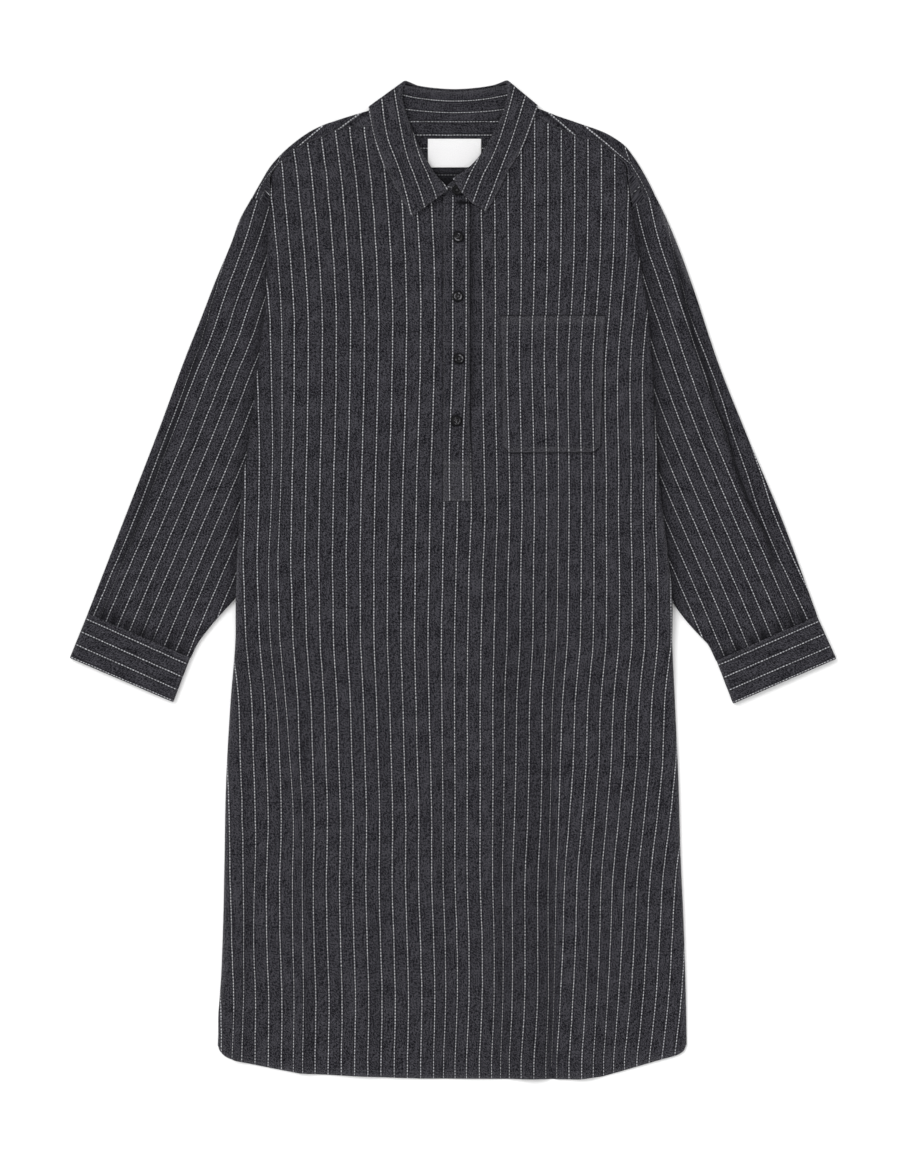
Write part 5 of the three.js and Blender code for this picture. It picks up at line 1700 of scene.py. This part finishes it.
# Length of one float of the stripe's white yarn, and how far its beginning wanders
FLOAT = 3.5
FLOAT_DRIFT = 3.2


# Noise over the cloth: fineness across and along the stripes, detail and roughness
WANDER = (0.05, 0.05)
SLUB = (0.8, 0.6, 2.0, 0.6)
SLANT = (0.72, 0.24, 1.0, 0.5)
WARP = (0.95, 0.04, 2.0, 0.6)
CLOUDS = (0.055, 0.055, 2.0)
# The same along one stripe, whose number keeps it apart from its neighbours
OWN = 7.31
BEADS = (0.34, OWN, 1.5)
DRIFT = (0.11, OWN, 1.0, 0.55, 5.0)
WANDER_REACH = 0.9
STRIPE_EDGE = (STRIPE_HALF * 0.6, STRIPE_HALF * 1.6)
BEAD_LIGHT = (0.3, 0.68, 0.45, 1.0)
CHAIN = {"middle": 0.5, "swing": 0.46}
FLANK_BAND = ((0.7, 1.1), (1.7, 2.7))
FLANK_WEIGHT = 0.6
SPECKLE = {"slub": 0.38, "slant": 0.34, "warp": 0.18, "clouds": 0.10, "range": (0.43, 0.585)}
FUZZ = (0.4, 0.62, 0.15, 1.0)
TWILL_LENGTH = 0.85
RAISED = {"stripe": 0.5, "twill": 0.16, "height": 0.00022, "strength": 0.8}


def striped_twill():
    n = Nodes("striped_twill", Roughness=0.95, Specular_IOR_Level=0.08, Sheen_Weight=0.02,
              Sheen_Roughness=0.5)
    u, v = n.painted("cloth", 1000.0)
    shade, wear_and_highlight = n.painted("painted_light_and_wear")
    wander = n.times(n.minus(n.streaks(u, v, *WANDER), 0.5), WANDER_REACH)
    place = n.math("DIVIDE", n.plus(u, wander), PITCH)
    number = n.math("ROUND", place)
    gap = n.times(n.math("ABSOLUTE", n.minus(place, number)), PITCH)
    drift = n.times(n.streaks(v, number, *DRIFT), FLOAT_DRIFT)
    chained = n.summed(CHAIN["middle"], (n.waves(n.plus(v, drift), FLOAT), CHAIN["swing"]))
    beads = n.step(n.streaks(v, number, *BEADS), *BEAD_LIGHT)
    stripe = n.times(n.step(gap, *STRIPE_EDGE, 1.0, 0.0), n.times(beads, chained))
    slub = n.streaks(u, v, *SLUB)
    slant = n.streaks(n.plus(u, v), n.minus(u, v), *SLANT)
    clouds, warp = n.streaks(u, v, *CLOUDS), n.streaks(u, v, *WARP)
    speckle = n.summed(n.times(slant, SPECKLE["slant"]), (slub, SPECKLE["slub"]),
                       (clouds, SPECKLE["clouds"]), (warp, SPECKLE["warp"]))
    toned = n.mix(n.step(speckle, *SPECKLE["range"]), CHARCOAL_DARK, CHARCOAL_LIGHT)
    flanked = n.mix(n.times(n.band(gap, *FLANK_BAND), FLANK_WEIGHT), toned, FLANK)
    # Lighter by the second painted channel: wear, with painted highlight on the sleeves' outer folds
    worn_and_highlit = n.mix(n.times(wear_and_highlight, n.step(slub, *FUZZ)), n.mix(stripe, flanked, STRIPE_WHITE), WORN_AND_HIGHLIT)
    # Darker towards the shadow colour by the first painted channel: painted shade
    n.colour(n.mix(shade, worn_and_highlit, SHADOW))
    twill = n.waves(n.plus(u, v), TWILL_LENGTH)
    raised = n.summed(speckle, (twill, RAISED["twill"]), (stripe, RAISED["stripe"]))
    n.bump(raised, RAISED["height"], RAISED["strength"])
    return n.material


THREAD_TWIST = {"scale": 4200.0, "height": 0.0001}


def thread_material(name, dark, light):
    n = Nodes(name, Roughness=0.6)
    twist = n.noise(n.position(), THREAD_TWIST["scale"], 1.0)
    n.colour(n.mix(twist, dark, light))
    n.bump(twist, THREAD_TWIST["height"])
    return n.material


LABEL_WEAVE = {"weft": 0.55, "warp": 0.45, "warp_share": 0.4, "tone": 0.12, "height": 0.00008}
LABEL_CLOUDS = (0.9, 0.9, 2.0)
LABEL_GREY = (0.80, 0.795, 0.80, 1)
LABEL_PALE = (0.97, 0.965, 0.97, 1)


def label_material():
    n = Nodes("woven_label", Roughness=0.55, Sheen_Weight=0.1)
    u, v = n.painted("cloth", 1000.0)
    weft, warp = n.waves(v, LABEL_WEAVE["weft"]), n.waves(u, LABEL_WEAVE["warp"])
    tone = n.summed(n.streaks(u, v, *LABEL_CLOUDS), (weft, LABEL_WEAVE["tone"]))
    n.colour(n.mix(tone, LABEL_GREY, LABEL_PALE))
    n.bump(n.summed(weft, (warp, LABEL_WEAVE["warp_share"])), LABEL_WEAVE["height"])
    return n.material


# Scale and detail of the noises on a button, the broken ring of painted highlight, and the painted glints in
# its middle
SWIRL = (420.0, 3.0)
MOTTLE = (700.0, 1.0)
ARCS = (260.0, 1.0)
RING_BAND = ((0.24, 0.3), (0.36, 0.42))
ARC_LIGHT = (0.49, 0.58, 0.05, 1.0)
MIDDLE_EDGE = (0.16, 0.26, 1.0, 0.0)
MIDDLE_LIGHT = (0.56, 0.62)
BUTTON_GLOSS = (0.3, 0.7, 0.25, 0.4)
BUTTON_BUMP = 0.00006
BUTTON_BLACK = (0.0015, 0.0015, 0.0018, 1)
BUTTON_GREY = (0.004, 0.004, 0.0046, 1)


def button_material(name, ring_light):
    n = Nodes(name, Specular_IOR_Level=0.1)
    swirl, mottled, arcs = (n.noise(n.position(), *kind) for kind in (SWIRL, MOTTLE, ARCS))
    split = n.new("SeparateXYZ", {0: n.new("TexCoord", {})["Generated"]})
    aside = [n.math("POWER", n.minus(split[k], 0.5), 2.0) for k in (0, 1)]
    radius = n.math("SQRT", n.plus(*aside))
    # Painted highlights: a broken ring and glints in the middle, in the glint colour over the black
    broken = n.times(n.band(radius, *RING_BAND), n.step(arcs, *ARC_LIGHT))
    middle = n.times(n.step(radius, *MIDDLE_EDGE), n.step(mottled, *MIDDLE_LIGHT))
    n.colour(n.mix(n.math("MAXIMUM", broken, middle), n.mix(swirl, BUTTON_BLACK, BUTTON_GREY), ring_light))
    n.put(n.shader.inputs["Roughness"], n.step(swirl, *BUTTON_GLOSS))
    n.bump(swirl, BUTTON_BUMP)
    return n.material


FLOOR_CLOUDS = (3.0, 1.0)
FLOOR_PALE = (0.95, 0.95, 0.95, 1)
FLOOR_WHITE = (0.97, 0.97, 0.97, 1)


def floor_material():
    n = Nodes("pale_floor", Roughness=0.95, Specular_IOR_Level=0.1)
    n.colour(n.mix(n.noise(n.position(), *FLOOR_CLOUDS), FLOOR_PALE, FLOOR_WHITE))
    return n.material


# Camera, light and floor

PIXEL = 1.15
PHOTO = {"wide": 910, "high": 1162, "centre_x": 455, "hem_y": 1080}
CAMERA_HEIGHT = 5.0
SKY = 0.92
CAMERA_REACH = 100
SUN = {"strength": 1.7, "angle": 35, "from": (-1, 0.9, 1.35)}


SENSOR = 36
FOCUS_LEVEL = 0.006
FLOOR_REACH = 6.0
FLOOR_GAP = 0.0002


def studio():
    scene = bpy.context.scene
    middle_x = (PHOTO["wide"] / 2 - PHOTO["centre_x"]) * PIXEL + SHIFT[0]
    middle_y = (PHOTO["hem_y"] - PHOTO["high"] / 2) * PIXEL + SHIFT[1]
    data = bpy.data.cameras.new("camera")
    data.sensor_width = SENSOR
    data.lens = SENSOR * (CAMERA_HEIGHT - FOCUS_LEVEL) / (PHOTO["high"] * PIXEL / 1000)
    camera = bpy.data.objects.new("camera", data)
    camera.location = (middle_x / 1000, middle_y / 1000, CAMERA_HEIGHT)
    camera.data.clip_end = CAMERA_REACH
    scene.collection.objects.link(camera)
    scene.camera = camera
    world = bpy.data.worlds.new("studio")
    world.use_nodes = True
    sky = world.node_tree.nodes["Background"].inputs
    sky[0].default_value = (1, 1, 1, 1)
    sky[1].default_value = SKY
    scene.world = world
    lamp = bpy.data.lights.new("key", "SUN")
    lamp.energy = SUN["strength"]
    lamp.angle = math.radians(SUN["angle"])
    light = bpy.data.objects.new("key", lamp)
    light.rotation_euler = (-Vector(SUN["from"])).to_track_quat("-Z", "Y").to_euler()
    scene.collection.objects.link(light)
    floor = bpy.data.meshes.new("floor")
    corners = [(x * FLOOR_REACH, y * FLOOR_REACH, 0) for x, y in ((-1, -1), (1, -1), (1, 1), (-1, 1))]
    floor.from_pydata(corners, [], [(0, 1, 2, 3)])
    ground = bpy.data.objects.new("floor", floor)
    ground.location.z = CAD_LOW[2] - FLOOR_GAP
    floor.materials.append(floor_material())
    scene.collection.objects.link(ground)
    scene.view_settings.view_transform = "Standard"


studio()

# The garment

SEAM_COLOURS = ((0.014, 0.014, 0.018, 1), (0.075, 0.074, 0.082, 1))
BUTTON_THREAD_COLOURS = ((0.008, 0.008, 0.009, 1), (0.06, 0.059, 0.062, 1))
# Colours of the painted glints: full on the front buttons, dimmed as painted shade on the collar button
GLINT = (0.15, 0.148, 0.158, 1)
SHADED_GLINT = (0.012, 0.012, 0.013, 1)
TWILL = striped_twill()
THREAD = thread_material("thread", *SEAM_COLOURS)
BUTTON_THREAD = thread_material("button_thread", *BUTTON_THREAD_COLOURS)
LABEL_WHITE = label_material()
BUTTON_DARK = button_material("dark_button", GLINT)
COLLAR_BUTTON_DARK = button_material("shaded_button", SHADED_GLINT)


def finish_piece(piece, material, slot, *nodes):
    piece.data.materials.clear()
    piece.data.materials.append(material)
    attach(piece, "root")
    if nodes:
        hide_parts(*nodes)
    return piece


SHELLS = {
    "back": back(),
    "front": front(),
    "yoke": yoke(),
    "sleeve_right": sleeve_shell(SLEEVE_RIGHT),
    "sleeve_left": sleeve_shell(SLEEVE_LEFT),
    "cuff_right": cuff_shell(SLEEVE_RIGHT),
    "cuff_left": cuff_shell(SLEEVE_LEFT),
    "collar_stand": collar_stand(),
    "collar_leaf": collar_leaf(),
    "placket_under": placket_under(),
    "placket_top": placket_top(),
    "pocket": pocket(),
}
# Each shell as a cloth mesh in the striped twill, on the root body, with its CAD part hidden
PIECES = {node: finish_piece(shell.mesh(f"{node}_cloth"), TWILL, "shirting", node)
          for node, shell in SHELLS.items()}
PIECES["label"] = finish_piece(label().mesh("label_cloth"), LABEL_WHITE, "woven_label", "label")

# Each line of stitching: its name, the piece that it is on, and how it runs
STITCHED = [
    ("placket", "placket_top", placket_sewing),
    ("pocket", "pocket", pocket_sewing),
    ("cuff_right", "cuff_right", cuff_sewing),
    ("cuff_left", "cuff_left", cuff_sewing),
    ("collar", "collar_leaf", collar_sewing),
    ("armhole_right", "sleeve_right", sleeve_sewing),
    ("armhole_left", "sleeve_left", sleeve_sewing),
    ("hem", "front", front_sewing),
    ("yoke", "yoke", yoke_sewing),
]
for name, node, sew in STITCHED:
    sewn = Sewing(SHELLS[node])
    sew(sewn)
    finish_piece(sewn.piece(f"{name}_stitching"), THREAD, "shirting")

BUTTON_PRESS = 0.15
UPWARDS = np.array([(0.0, 0.0, 1.0)] * 2)


def sewn_button(name, x, y, z, material):
    made = turned(f"{name}_turned", x, y, [(r, z + h) for r, h in button_profile()], BUTTON_SIDES)
    drill(made, x, y, z)
    finish_piece(made, material, "button", name)
    sewing = Sewing()
    level = z + BUTTON["thickness"] - BUTTON["dish"]
    reach = BUTTON["hole_out"]
    for side in (-1, 1):
        path = np.array([(x + k * reach, y + k * side * reach, level) for k in (-1, 1)])
        sewing.line(path, UPWARDS, CROSS_STITCH)
    finish_piece(sewing.piece(f"{name}_thread"), BUTTON_THREAD, "button")


for place in BUTTON_PLACES:
    above = float(front_level(place["x"], place["y"])) + CLOTH + SEAM + CLOTH / 2 + SEAM - BUTTON_PRESS
    sewn_button(place["name"], place["x"], place["y"], above, BUTTON_DARK)
sewn_button("button_1", COLLAR_BUTTON["x"], COLLAR_BUTTON["y"], COLLAR_BUTTON["z"], COLLAR_BUTTON_DARK)
